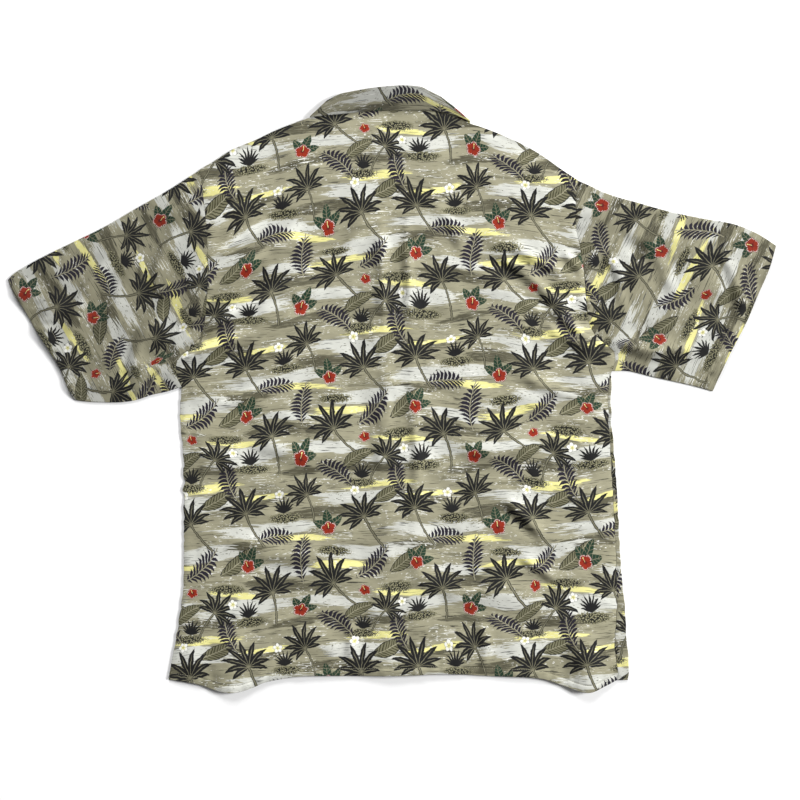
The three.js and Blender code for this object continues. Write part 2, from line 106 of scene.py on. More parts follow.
OUTLINE = {
    "hem": [
        (-302, -392), (-262, -399), (-235, -408), (-212, -410), (-189, -404), (-169, -396),
        (-127, -389), (-86, -388), (11, -388), (73, -386), (135, -389), (197, -392),
        (228, -401), (251, -409), (269, -411), (290, -402), (304, -395),
    ],
    "left_side": [
        (-302, -392), (-298, -371), (-290, -328), (-286, -301), (-282, -271), (-281, -231),
        (-281, -123), (-282, -85), (-285, -55), (-286, -28), (-284, 3),
    ],
    "right_side": [
        (319, -393), (320, -366), (317, -339), (315, -298), (311, -258), (308, -217),
        (306, -177), (304, -136), (301, -96), (299, -69), (297, -49), (296, -15), (297, 24),
    ],
    "left_armhole": [
        (-284, 3), (-291, 20), (-289, 39), (-272, 55), (-257, 76), (-251, 107),
        (-248, 160), (-250, 208), (-255, 262), (-260, 296),
    ],
    "right_armhole": [
        (297, 24), (301, 39), (298, 53), (281, 66), (267, 86), (262, 120),
        (259, 158), (254, 190), (248, 224), (248, 255), (251, 282),
    ],
    "left_shoulder": [
        (-97, 372), (-112, 366), (-155, 350), (-185, 336), (-216, 323), (-238, 309), (-260, 296),
    ],
    "right_shoulder": [
        (89, 366), (106, 358), (119, 354), (146, 344), (173, 332), (200, 317), (227, 298),
        (251, 282),
    ],
    "left_sleeve_top": [
        (-260, 296), (-302, 269), (-346, 244), (-389, 219), (-432, 198), (-475, 177),
        (-508, 158), (-519, 148),
    ],
    "left_sleeve_under": [
        (-284, 3), (-302, -3), (-324, -8), (-346, -15), (-367, -18), (-394, -18), (-413, -17),
        (-427, -15),
    ],
    "left_cuff": [
        (-427, -15), (-436, -3), (-448, 26), (-464, 53), (-481, 80), (-497, 107), (-510, 128),
        (-519, 148),
    ],
    "right_sleeve_top": [
        (251, 282), (267, 275), (294, 263), (332, 252), (375, 240), (418, 231), (462, 223),
        (494, 210), (519, 194),
    ],
    "right_sleeve_under": [(297, 24), (321, 24), (354, 16), (386, 9), (408, 4), (433, -3)],
    "right_cuff": [
        (433, -3), (441, 15), (452, 39), (466, 66), (480, 93), (491, 120), (503, 147),
        (511, 168), (519, 194),
    ],
}

WRAP_Y = (-393, -352, -300, -270, -220, -170, -120, -69, -20, 24)
WRAP_WIDTH = (14, 17.5, 11, 8, 5, 5.4, 5.4, 4, 3.4, 3.4)

COLLAR = {
    "neck_back": [(-97, 372), (-50, 378), (0, 380), (46, 377), (89, 366)],
    "neck_left": [(-97, 372), (-91, 345), (-66, 311), (-32, 294), (-1, FRONT_NECK_Y)],
    "neck_right": [(89, 366), (84, 341), (62, 310), (30, 294), (-1, FRONT_NECK_Y)],
    "roll_back": [
        (-86, 390), (-70, 398), (-57, 401), (-30, 406), (-3, 409), (17, 410), (38, 408),
        (51, 402), (65, 395), (79, 384),
    ],
    "roll_left": [(-86, 390), (-80, 358), (-57, 325), (-28, 307), (-3, 302)],
    "roll_right": [(79, 384), (74, 355), (53, 324), (26, 307), (1, 302)],
    "edge_back": [(-110, 367), (-70, 371), (-24, 375), (43, 376), (80, 371), (105, 361)],
    "edge_left": [(-110, 367), (-109, 330), (-88, 286), (-50, 240)],
    "edge_right": [(105, 361), (103, 326), (83, 284), (48, 240)],
}

# The solids' soft folds. Columns: start, end, bow, rise, half width, open at its end
FOLDS = [
    ((-100, 236), (-252, 132), 10, 5, 22, False),
    ((-92, 182), (-244, 52), 14, 6, 22, False),
    ((-170, 78), (-292, 30), -6, 6, 18, False),
    ((110, 232), (246, 142), -12, 5, 22, False),
    ((186, 124), (292, 44), -8, 6, 20, False),
    ((140, -138), (214, -204), 4, 3, 18, False),
    ((160, -222), (236, -262), 4, 2.5, 18, False),
    ((-222, -318), (-216, -409), 0, 5, 34, True),
    ((256, -320), (266, -410), 0, 6, 34, True),
    ((-336, 60), (-366, -26), 4, 4, 20, True),
    ((-400, 190), (-480, 60), -10, 3, 22, True),
    ((290, 66), (420, 56), -6, 5, 20, False),
    ((452, 190), (486, 96), 6, 3, 20, False),
]

# Finer creases of the upper layer: a crest along a line, with a shallow trough at its side.
# Columns: line, rise, half width
CREASES = [
    ([(-7, 250), (-34, 223), (-53, 196), (-69, 173), (-92, 157)], 3.9, 8),
    ([(-115, 234), (-146, 202), (-184, 173), (-227, 142), (-250, 119)], 5.5, 9),
    ([(-173, 223), (-215, 196), (-250, 173)], 3.6, 7),
    ([(-104, 150), (-165, 126), (-215, 99), (-250, 76), (-277, 53)], 6.0, 8),
    ([(-204, 118), (-230, 92), (-256, 70)], 3.1, 6),
    ([(-192, 250), (-222, 238), (-250, 223)], 2.6, 6),
    ([(39, 262), (66, 240), (88, 208), (96, 176)], 3.4, 8),
    ([(150, 196), (184, 181), (212, 166), (236, 152)], 4.2, 6),
    ([(120, 190), (160, 168), (200, 138), (238, 96), (270, 66)], 5.2, 8),
    ([(204, 113), (231, 93), (273, 66)], 3.1, 6),
    ([(228, 186), (246, 170), (256, 152)], 2.9, 6),
    ([(150, -144), (180, -176), (210, -202)], 3.9, 6),
    ([(168, -222), (198, -243), (226, -260)], 3.4, 6),
    ([(-228, 64), (-262, 50), (-288, 36)], 3.9, 6),
    ([(-200, -60), (-120, -90), (-36, -92)], 3.4, 13),
    ([(-234, -188), (-150, -222), (-70, -220)], 3.1, 14),
    ([(62, -56), (132, -86), (212, -64)], 3.4, 13),
    ([(20, -244), (96, -276), (170, -266)], 2.9, 13),
    ([(-62, -296), (-54, -350), (-57, -388)], 2.6, 7),
    ([(118, -302), (127, -350), (122, -389)], 2.6, 7),
    ([(-150, 330), (-118, 302), (-66, 288)], 2.6, 8),
    ([(152, 322), (118, 298), (62, 284)], 2.6, 8),
    ([(-150, 20), (-190, -8), (-250, -26)], 3.6, 8),
    ([(160, 30), (212, 2), (270, -14)], 3.6, 8),
    ([(-22, -4), (-14, -64), (-18, -128)], 2.6, 7),
    ([(30, -40), (36, -110), (28, -170)], 2.3, 8),
    ([(-300, 116), (-338, 66), (-352, 12)], 4.2, 7),
    ([(-376, 180), (-418, 122), (-442, 54)], 3.6, 8),
    ([(-286, 220), (-314, 168), (-322, 124)], 3.4, 7),
    ([(-352, 150), (-380, 96), (-392, 40)], 2.9, 10),
    ([(294, 66), (352, 50), (414, 58)], 4.2, 7),
    ([(316, 224), (362, 172), (386, 108)], 3.4, 9),
    ([(438, 196), (464, 142), (472, 84)], 3.1, 7),
    ([(290, 190), (306, 150), (308, 106)], 3.1, 7),
]

# Creases that the layer on the surface has, raised off it. Columns: line, rise, half width
FRONT_CREASES = [
    ([(-60, 180), (-130, 120), (-220, 90)], 1.0, 8),
    ([(-50, -40), (-140, -70), (-240, -66)], 1.0, 9),
    ([(-70, -230), (-150, -256), (-230, -236)], 0.9, 9),
    ([(60, 190), (140, 140), (226, 116)], 1.0, 8),
    ([(70, -30), (160, -64), (262, -52)], 1.0, 9),
    ([(60, -220), (150, -250), (250, -232)], 0.9, 9),
    ([(-310, 200), (-370, 120), (-390, 40)], 0.8, 8),
    ([(310, 220), (370, 150), (400, 60)], 0.8, 8),
]


def ease(s):
    s = np.clip(s, 0, 1)
    return s * s * (3 - 2 * s)


def mix(a, b, s):
    return a + (b - a) * s


def plateau(distance, flat, slope):
    return 1 - ease((distance - flat) / slope)


def bell(distance, half):
    return np.exp(-((distance / half) ** 2))


def arc_along(points, axis=0):
    """Distance along a line of points, or along each line of a grid."""
    steps = np.linalg.norm(np.diff(points, axis=axis), axis=-1)
    first = np.zeros_like(np.take(steps, [0], axis=axis))
    return np.concatenate([first, np.cumsum(steps, axis=axis)], axis=axis)


def curve(rows):
    """The curve through the rows, dense, with its arc length."""
    p = np.array(rows, float)
    last = len(p) - 1
    t = np.linspace(0, last, 24 * last + 1)
    k = np.minimum(t.astype(int), last - 1)
    w = (t - k)[:, None]
    a, b, c, d = (p[np.clip(k + shift, 0, last)] for shift in (-1, 0, 1, 2))
    v0, v1 = (c - a) / 2, (d - b) / 2
    points = (2 * b - 2 * c + v0 + v1) * w**3 + (3 * c - 3 * b - 2 * v0 - v1) * w**2 + v0 * w + b
    return points, arc_along(points)


def at(line, shares):
    points, arc = line
    s = np.asarray(shares) * arc[-1]
    return np.stack([np.interp(s, arc, points[:, 0]), np.interp(s, arc, points[:, 1])], axis=-1)


LINES = {name: curve(rows) for name, rows in {**OUTLINE, **COLLAR}.items()}


def beside(line, x, y, count=24):
    """Distance from a curve, signed by its side, and the share of the nearest point along it."""
    points = at(line, np.linspace(0, 1, count + 1))
    least = np.full(x.shape, 1e9)
    side = np.ones(x.shape)
    share = np.zeros(x.shape)
    for k in range(count):
        ax, ay = points[k]
        dx, dy = points[k + 1] - points[k]
        t = np.clip(((x - ax) * dx + (y - ay) * dy) / (dx * dx + dy * dy), 0, 1)
        distance = np.hypot(x - ax - t * dx, y - ay - t * dy)
        nearer = distance < least
        least = np.where(nearer, distance, least)
        side = np.where(nearer, np.sign((x - ax) * -dy + (y - ay) * dx), side)
        share = np.where(nearer, (k + t) / count, share)
    return least, side, share


def from_closed_edge(x, y):
    names = ["left_shoulder", "left_sleeve_top", "left_sleeve_under", "left_side",
             "right_shoulder", "right_sleeve_top", "right_sleeve_under", "right_side"]
    return np.min([beside(LINES[name], x, y)[0] for name in names], axis=0)


def ripple(x, y, wavelength, seed, count=16):
    """Smooth unevenness with unit spread."""
    rng = np.random.default_rng(seed)
    total = np.zeros(np.broadcast(x, y).shape)
    for _ in range(count):
        angle, phase = rng.uniform(0, 2 * math.pi, 2)
        k = 2 * math.pi / (wavelength * rng.uniform(0.7, 1.45))
        total += np.sin(k * (x * math.cos(angle) + y * math.sin(angle)) + phase)
    return total / math.sqrt(count / 2)


def wobble(s, wavelength, seed, count=9):
    rng = np.random.default_rng(seed)
    total = np.zeros(np.shape(s))
    for _ in range(count):
        k = 2 * math.pi / (wavelength * rng.uniform(0.6, 1.7))
        total += np.sin(k * s + rng.uniform(0, 2 * math.pi))
    return total / math.sqrt(count / 2)


def centre_x(y):
    return 13 - 0.04 * np.maximum(0, y + 60)


def in_collar(x, y):
    reach = np.hypot((x - COLLAR_MIDDLE[0]) / COLLAR_HALF[0], (y - COLLAR_MIDDLE[1]) / COLLAR_HALF[1])
    return plateau(reach, 1, 0.35)


def near_placket(x, y, slope, end_y):
    flat = PLACKET_HALF + 4 + 24 * ease((y - 190) / 60)
    return plateau(np.abs(x - centre_x(y)), flat, slope) * plateau(y, end_y, 60)


def front_rise(x, y, slope):
    raised = mix(LAYER * in_collar(x, y), BUTTON_LIFT, near_placket(x, y, slope, PLACKET_END_Y))
    return raised, raised + LAP_RISE * near_placket(x, y, slope, LAP_END_Y)


def fold_rise(x, y):
    total = np.zeros(x.shape)
    for (x0, y0), (x1, y1), bow, height, half, is_open in FOLDS:
        dx, dy = x1 - x0, y1 - y0
        length = math.hypot(dx, dy)
        t = ((x - x0) * dx + (y - y0) * dy) / length**2
        s = np.minimum(1, t)
        off = ((x - x0) * -dy + (y - y0) * dx) / length - bow * 4 * s * (1 - s)
        taper = ease(s / 0.4) * (1 if is_open else ease((1 - s) / 0.4))
        rise = height * taper * plateau(np.abs(off), 0, half)
        total += np.where((t < 0) | ((t > 1) & (not is_open)), 0, rise)
    return total


def creased(creases, x, y):
    total = np.zeros(x.shape)
    for line, rise, half in creases:
        distance, side, share = beside(curve(line), x, y, 14)
        off = distance * side
        taper = ease(share / 0.3) * ease((1 - share) / 0.3)
        crest = bell(off, half) - 0.6 * bell(off + 1.7 * half, 1.1 * half)
        total += rise * taper * crest
    return total


def imprint(x, y):
    """The edges of the placket and the buttons under it, pressed up through the back."""
    edges = np.zeros(x.shape)
    for edge in (-PLACKET_HALF, PLACKET_HALF):
        off = x - centre_x(y) - edge
        edges += bell(off, 7) - 0.45 * bell(off + 13, 9)
    strength = 3.8 * ease((y - 70) / 60) + 1.5 * bell(y + 35, 70) + 0.6
    return edges * strength * plateau(y, 205, 50)


def seam_relief(x, y):
    """The groove of the armhole seams and the small puckers along them."""
    total = np.zeros(x.shape)
    for name, seed in (("left_armhole", 41), ("right_armhole", 42)):
        distance, _, share = beside(LINES[name], x, y, 30)
        length = LINES[name][1][-1]
        pucker = wobble(share * length, 13, seed)
        total += -0.8 * bell(distance, 2.4) + 0.42 * pucker * np.exp(-distance / 10)
    return total


def painted_crease_shade(x, y):
    """Painted shade and highlight: the cloth is painted a little paler on the crests and darker in the
    hollows.
    """
    return 1 + np.clip(0.035 * (creased(CREASES, x, y) + imprint(x, y)), -0.13, 0.05)


def painted_edge_shade(distance):
    """Painted shade: the turned edges are painted a little darker than the cloth between them."""
    return 1 - EDGE_PAINTED_SHADE * ease((EDGE_PAINTED_SHADE_WIDTH - distance) / EDGE_PAINTED_SHADE_WIDTH)


def left_front_height(x, y):
    return FLOOR + front_rise(x, y, PLACKET_SLOPE)[0]


def right_front_height(x, y):
    return FLOOR + front_rise(x, y, PLACKET_SLOPE)[1]


def front_detail(x, y):
    inside = ease(from_closed_edge(x, y) / 20)
    uneven = 0.16 * np.maximum(ripple(x, y, 60, 5) + 0.4, 0)
    return inside * (np.maximum(creased(FRONT_CREASES, x, y), 0) + uneven)


def draped(x, y):
    """The place on the print of a point of the back, whose sides hang lower than its middle."""
    left = 26 * ease((-x - 30) / 300) * (0.35 + bell(y - 170, 170))
    right = 15 * ease((x - 60) / 260) * bell(y - 190, 150)
    shift_x = 1.6 * ripple(x, y, 120, 61)
    shift_y = left + right + 2.2 * ripple(x, y, 110, 62)
    return np.stack([x + shift_x, y + shift_y], axis=-1)


def wrap_width(v, y):
    """How wide the right front's side lies on the back, narrowing to the armpit."""
    taper = 0.15 + 0.85 * ease((SIDE_SHARE - v) / 0.03)
    return (np.interp(y, WRAP_Y, WRAP_WIDTH) - FOLD_R - CLOTH / 2) * taper


def right_fold(v, edge):
    """Where the right front turns up: its side line less the fold's radius, slightly uneven."""
    return edge[:, 0] - FOLD_R - CLOTH / 2 + 0.35 * wobble(v * PANEL_LENGTH, 22, 9)


def back_height(x, y):
    """Middle of the upper layer, with all its relief."""
    inner = in_collar(x, y)
    outside = 1 - inner
    base = FLOOR + front_rise(x, y, 1.4 * PLACKET_SLOPE)[1] + LAYER + COLLAR_CLEAR * inner
    distance = from_closed_edge(x, y)
    air = AIR * (1 - 0.6 * near_placket(x, y, 2 * PLACKET_SLOPE, PLACKET_END_Y)) + fold_rise(x, y)
    uneven = 0.75 * ripple(x, y, 62, 11) + 0.2 * ripple(x, y, 21, 12)
    fine = creased(CREASES, x, y) + imprint(x, y) + uneven
    lifted = ease(distance / EDGE_REACH) * outside * air
    relief = lifted + ease(distance / 16) * (0.5 + 0.5 * outside) * fine
    relief += seam_relief(x, y) - 0.6 * bell(distance, 3.2)
    # it rests on the layer below where it would sink into it
    below = front_detail(x, y) - 0.35
    return base + (relief + below + np.sqrt((relief - below) ** 2 + 0.1)) / 2


def hem_relief(distance, along, turn, seed):
    """A turned band with its row of stitching, puckered along it."""
    band = 0.4 * plateau(distance, turn, 2.5)
    groove = -0.6 * bell(distance - turn + 1, 1.3)
    pucker = 0.36 * wobble(along, 13, seed) * bell(distance - turn + 2, 8)
    return band + groove + pucker


def spread(length, count, start=(), end=()):
    """Shares of a length, even but for the distances given from its start and its end."""
    first = start[-1] if start else 0
    last = length - (end[-1] if end else 0)
    inner = np.linspace(first, last, count)
    distances = [0, *start[:-1]] if start else []
    tail = [length - d for d in reversed(end[:-1])] + [length] if end else []
    return np.array([*distances, *inner, *tail]) / length


EDGE_STEPS = (0.5, 1.3, 2.6)
HEM_STEPS = (0.5, 1.5, 3.5, 5.5, 7, 7.8, 8.4, 9, 9.6, 10.4, 12, 14, 18, 23)
CUFF_STEPS = (0.5, 1.5, 5, 9, 13, 17, 20, 21.6, 22.4, 23, 23.6, 24.4, 26, 28)


def filled(bottom, top, left, right, u, v):
    """Plan points that fill four boundary curves, [row, column]."""
    u = u[None, :, None]
    v = v[:, None, None]
    across = bottom[None] * (1 - v) + top[None] * v
    along = left[:, None] * (1 - u) + right[:, None] * u
    low = bottom[0] * (1 - u) + bottom[-1] * u
    high = top[0] * (1 - u) + top[-1] * u
    return across + along - low * (1 - v) - high * v


def panel_rows(count_low, count_high):
    low = spread(400, count_low, HEM_STEPS) * SIDE_SHARE
    high = SIDE_SHARE + (1 - SIDE_SHARE) * spread(330, count_high, (), EDGE_STEPS)
    return np.concatenate([low, high[1:]])


def side_of(side, armhole, v, seed=0):
    low = at(LINES[side], np.clip(v / SIDE_SHARE, 0, 1))
    high = at(LINES[armhole], np.clip((v - SIDE_SHARE) / (1 - SIDE_SHARE), 0, 1))
    edge = np.where((v < SIDE_SHARE)[:, None], low, high)
    if seed:
        s = v / SIDE_SHARE
        notch = 0.8 * wobble(s * 400, 17, seed) * ease(s / 0.08) * ease((1 - s) / 0.04)
        edge[:, 0] += notch * (0.4 + 0.6 * bell(s - 0.72, 0.2))
    return edge


def raised(plan, height):
    x, y = plan[..., 0], plan[..., 1]
    return np.stack([x, y, height(x, y)], axis=-1)


def unit(v):
    return v / np.maximum(np.linalg.norm(v, axis=-1, keepdims=True), 1e-12)


class Shell:
    """A closed thin wall round a grid of middle points, with a rounded rim."""

    def __init__(self, mid, cloth, closed=False, cells=None, thick=CLOTH, tone=1.0):
        rows, columns = mid.shape[:2]
        self.tone = np.broadcast_to(tone, (rows, columns))
        span = columns if closed else columns - 1
        self.mid, self.cloth, self.closed, self.thick = mid, cloth, closed, thick
        self.cells = np.ones((rows - 1, span), bool) if cells is None else cells
        around = np.zeros((rows + 1, columns + 1), bool)
        around[1:rows, 1:span + 1] = self.cells
        if closed:
            around[:, 0] = around[:, columns]
        ne, nw = around[1:, 1:], around[1:, :-1]
        se, sw = around[:-1, 1:], around[:-1, :-1]
        self.used = ne | nw | se | sw
        self.border = self.used & ~(ne & nw & se & sw)
        east = np.where((ne | se)[..., None], np.roll(mid, -1, axis=1), mid)
        west = np.where((nw | sw)[..., None], np.roll(mid, 1, axis=1), mid)
        north = np.where((ne | nw)[..., None], np.roll(mid, -1, axis=0), mid)
        south = np.where((se | sw)[..., None], np.roll(mid, 1, axis=0), mid)
        easting, northing = unit(east - west), unit(north - south)
        self.normal = unit(np.cross(easting, northing))
        out = np.zeros(mid.shape)
        for missing, sx, sy in ((~ne, 1, 1), (~nw, -1, 1), (~se, 1, -1), (~sw, -1, -1)):
            out += missing[..., None] * (sx * easting + sy * northing)
        self.out = unit(out)

    def mesh(self, name, materials, outer_above):
        rows, columns = self.mid.shape[:2]
        count = int(self.used.sum())
        rim_count = int(self.border.sum())
        index = np.full((rows, columns), -1)
        index[self.used] = np.arange(count)
        rim = np.full((rows, columns), -1)
        rim[self.border] = 2 * count + np.arange(rim_count)
        half = self.thick / 2
        points = np.concatenate([
            (self.mid + half * self.normal)[self.used],
            (self.mid - half * self.normal)[self.used],
            (self.mid + 0.6 * half * self.out)[self.border],
        ])
        cloth = np.concatenate([
            self.cloth[self.used], self.cloth[self.used], self.cloth[self.border]])
        j, i = np.nonzero(self.cells)
        i1 = (i + 1) % columns
        a, b, c, d = index[j, i], index[j, i1], index[j + 1, i1], index[j + 1, i]
        top = np.stack([a, b, c, d], axis=1)
        under = top[:, ::-1] + count
        faces = [top, under]
        for dj, di, (pj, pi), (qj, qi) in (
            (-1, 0, (0, 0), (0, 1)), (0, 1, (0, 1), (1, 1)),
            (1, 0, (1, 1), (1, 0)), (0, -1, (1, 0), (0, 0)),
        ):
            nj, ni = j + dj, i + di
            if self.closed:
                ni = ni % columns
            real = (nj >= 0) & (nj < self.cells.shape[0]) & (ni >= 0) & (ni < self.cells.shape[1])
            there = np.zeros(len(j), bool)
            there[real] = self.cells[nj[real], ni[real]]
            ej, ei = j[~there], i[~there]
            p = (ej + pj, (ei + pi) % columns)
            q = (ej + qj, (ei + qi) % columns)
            faces.append(np.stack([index[q], index[p], rim[p], rim[q]], axis=1))
            faces.append(np.stack([rim[q], rim[p], index[p] + count, index[q] + count], axis=1))
        all_faces = np.concatenate(faces)
        inner = np.zeros(len(all_faces), np.int32)
        cells = len(top)
        if outer_above:
            inner[cells:2 * cells] = 1
        else:
            inner[:cells] = 1
        obj = placed(name, mesh_of(name, points, all_faces.tolist(), materials))
        obj.data.polygons.foreach_set("material_index", inner)
        attribute = obj.data.attributes.new("cloth", "FLOAT_VECTOR", "POINT")
        flat = np.zeros((len(points), 3), np.float32)
        flat[:, :2] = cloth
        attribute.data.foreach_set("vector", flat.ravel())
        # the tone attribute carries each point's painted shade and highlight
        tone = np.concatenate([self.tone[self.used], self.tone[self.used], self.tone[self.border]])
        attribute = obj.data.attributes.new("tone", "FLOAT", "POINT")
        attribute.data.foreach_set("value", tone.astype(np.float32))
        return obj

    def along(self, rows, columns, side, lift=0.0):
        """Points on one face at fractional rows and columns, with the normals there."""
        j0 = np.clip(np.floor(rows).astype(int), 0, self.mid.shape[0] - 2)
        width = self.mid.shape[1]
        i0 = np.floor(columns).astype(int)
        i0 = i0 % width if self.closed else np.clip(i0, 0, width - 2)
        i1 = (i0 + 1) % width
        fj = (rows - j0)[:, None]
        fi = (columns - np.floor(columns))[:, None] if self.closed else (columns - i0)[:, None]

        def sample(grid):
            low = grid[j0, i0] * (1 - fi) + grid[j0, i1] * fi
            high = grid[j0 + 1, i0] * (1 - fi) + grid[j0 + 1, i1] * fi
            return low * (1 - fj) + high * fj

        normal = unit(sample(self.normal)) * side
        return sample(self.mid) + normal * (self.thick / 2 + lift), normal


def mesh_of(name, points, faces, materials):
    """A smooth mesh in metres from points in millimetres."""
    mesh = bpy.data.meshes.new(name)
    mesh.from_pydata((np.array(points) * 0.001).tolist(), [], faces)
    for material in materials:
        mesh.materials.append(material)
    mesh.polygons.foreach_set("use_smooth", np.ones(len(mesh.polygons), bool))
    mesh.update()
    return mesh


def placed(name, data):
    obj = bpy.data.objects.new(name, data)
    bpy.context.scene.collection.objects.link(obj)
    return obj


def worn_as(obj, node=None):
    """Rides with the shirt and may stand for a solid, whose part it hides."""
    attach(obj, "root")
    if node:
        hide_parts(node)
    return obj


def tube_faces(levels, sides, base=0):
    """Faces of a closed tube through rings of points, with both its ends."""
    faces = []
    for level in range(levels - 1):
        for q in range(sides):
            a = base + level * sides + q
            b = base + level * sides + (q + 1) % sides
            faces.append((a, b, b + sides, a + sides))
    top = base + (levels - 1) * sides
    faces.append(tuple(base + q for q in reversed(range(sides))))
    faces.append(tuple(top + q for q in range(sides)))
    return faces


# Print and cloth materials
def colour(red, green, blue, gain=0.7):
    """A linear colour from display values, darkened for the strength of the lights."""
    def linear(value):
        s = value / 255
        return gain * (s / 12.92 if s <= 0.04045 else ((s + 0.055) / 1.055) ** 2.4)
    return (linear(red), linear(green), linear(blue), 1)


TAUPE = colour(164, 160, 134)
SHADE = colour(126, 123, 100)
OLIVE = colour(80, 77, 59)
GREY = colour(216, 217, 208)
YELLOW = colour(244, 238, 158)
CHARCOAL = colour(24, 24, 24)
VIOLET = colour(36, 32, 44)
RED = colour(152, 42, 18)
CRIMSON = colour(104, 24, 18)
WHITE = colour(252, 252, 244)
GREEN = colour(30, 58, 40)
LEAF = colour(106, 104, 74)


class Graph:
    """Builds the nodes of one tree."""

    def __init__(self, tree):
        self.tree = tree

    def add(self, kind, inputs, out=0, **settings):
        node = self.tree.nodes.new(kind)
        for name, value in settings.items():
            setattr(node, name, value)
        for key, value in inputs.items():
            if isinstance(value, bpy.types.NodeSocket):
                self.tree.links.new(value, node.inputs[key])
            elif value is not None:
                node.inputs[key].default_value = value
        return node.outputs[out]

    def math(self, operation, *values):
        return self.add("ShaderNodeMath", dict(enumerate(values)), operation=operation)

    def vector(self, operation, *values, out=0):
        return self.add("ShaderNodeVectorMath", dict(enumerate(values)), out, operation=operation)

    def length(self, point):
        return self.vector("LENGTH", point, out=1)

    def split(self, point):
        node = self.add("ShaderNodeSeparateXYZ", {0: point}).node
        return node.outputs[0], node.outputs[1]

    def span(self, value, low, high, to_low=0.0, to_high=1.0):
        """Carries low..high over to the two given values, and no further."""
        return self.add("ShaderNodeMapRange", {
            "Value": value, "From Min": low, "From Max": high, "To Min": to_low, "To Max": to_high})

    def over(self, below, paint, cover):
        return self.add("ShaderNodeMix", {0: cover, 6: below, 7: paint}, 2, data_type="RGBA")

    def noise(self, at, scale, detail=2.0, out="Fac"):
        stretched = self.vector("MULTIPLY", at, scale)
        return self.add("ShaderNodeTexNoise", {
            "Vector": stretched, "Scale": 1.0, "Detail": detail, "Roughness": 0.55,
        }, out, noise_dimensions="2D")

    def around(self, at, x, y):
        """The way to a point from the nearest copy of a place in the repeat."""
        half = (REPEAT[0] / 2, REPEAT[1] / 2, 1)
        low = (-half[0], -half[1], -1)
        return self.vector("WRAP", self.vector("SUBTRACT", at, (x, y, 0)), half, low)

    def nearest(self, at, places):
        """The point in the frame of the nearest of a motif's places in the repeat."""
        best = point = None
        for x, y, turn, size in places:
            here = self.add("ShaderNodeMapping", {
                "Vector": self.around(at, x, y), "Rotation": (0, 0, math.radians(-turn)),
                "Scale": (1 / size, 1 / abs(size), 1),
            }, vector_type="POINT")
            away = self.length(here)
            if best is None:
                best, point = away, here
                continue
            closer = self.math("LESS_THAN", away, best)
            point = self.add("ShaderNodeMix", {0: closer, 4: point, 5: here}, 1, data_type="VECTOR")
            best = self.math("MINIMUM", best, away)
        return point, best

    def patches(self, at, places, ragged):
        """Brushed patches: 1 inside ellipses whose edges are ragged."""
        least = None
        for x, y, wide, high, tilt in places:
            away = self.length(self.add("ShaderNodeMapping", {
                "Vector": self.around(at, x, y), "Rotation": (0, 0, math.radians(tilt)),
                "Scale": (wide, high, 1),
            }, vector_type="TEXTURE"))
            least = away if least is None else self.math("MINIMUM", least, away)
        return self.span(self.math("ADD", least, ragged), 1.02, 0.98)

    def spray(self, point, radius, step, limit, longest, shorter, width, droop):
        """Blades that fan out from a base: how far inside a blade, and the place along it."""
        x, y = self.split(point)
        reach = self.math("DIVIDE", radius, longest)
        bent = self.math("MULTIPLY_ADD", self.math("MULTIPLY", reach, reach), droop, 1.0)
        angle = self.math("DIVIDE", self.math("ARCTAN2", x, y), bent)
        turn = self.math("ROUND", self.math("DIVIDE", angle, step))
        turn = self.math("MINIMUM", self.math("MAXIMUM", turn, -limit), limit)
        off = self.math("MULTIPLY_ADD", turn, -step, angle)
        squared = self.math("MULTIPLY", turn, turn)
        length = self.math("MULTIPLY_ADD", squared, -shorter, longest)
        t = self.math("DIVIDE", radius, length)
        rest = self.math("SUBTRACT", 1.0, t)
        half = self.math("MULTIPLY", self.math("MULTIPLY", t, rest), width)
        aside = self.math("MULTIPLY", radius, self.math("ABSOLUTE", off))
        return self.math("SUBTRACT", half, aside), t, aside

    def petals(self, point, count, wide, far, middle):
        """Petals round a middle: 0 at a petal's heart to 1 at its edge, and how near the next is."""
        x, y = self.split(point)
        angle = self.math("ARCTAN2", x, y)
        step = 2 * math.pi / count
        off = self.math("WRAP", angle, step / 2, -step / 2)
        radius = self.length(point)
        px = self.math("MULTIPLY", self.math("SINE", off), radius)
        py = self.math("MULTIPLY", self.math("COSINE", off), radius)
        flat = self.add("ShaderNodeCombineXYZ", {
            0: self.math("DIVIDE", px, wide),
            1: self.math("DIVIDE", self.math("SUBTRACT", py, middle), far),
        })
        gap = self.math("MULTIPLY", self.math("SUBTRACT", step / 2, self.math("ABSOLUTE", off)), radius)
        return self.length(flat), gap, radius, px


# Places in the repeat: x, y, turn in degrees, size (negative is mirrored)
FAN_LEAVES = [(34, 42, 16, 1.3), (114, 66, -30, -1.1), (190, 32, 24, 1.25), (70, 144, -20, -1.25),
              (152, 154, 34, 1.3), (220, 118, -40, 1.1)]
FRONDS = [(74, 12, -62, 1.0), (154, 100, -34, -1.05), (8, 92, 38, 1.0), (206, 182, 66, -1.05),
          (108, 190, 16, 1.1)]
BROAD_LEAVES = [(228, 64, -58, 1.05), (20, 184, -50, 1.05), (184, 118, 58, -0.95)]
SPRIGS = [(146, 18, 10, 1.15), (34, 180, -20, 1.15), (108, 116, 24, -1.1)]
RED_FLOWERS = [(146, 18, 10, 0.52), (34, 180, 30, 0.5), (108, 116, -14, 0.54), (192, 146, 24, 0.4)]
PALE_FLOWERS = [(76, 68, 0, 0.62), (180, 72, 20, 0.64), (14, 130, 12, 0.62)]
GRASS = [(84, 42, 4, 1.05), (38, 112, 8, 1.1), (190, 88, -8, 1.0)]
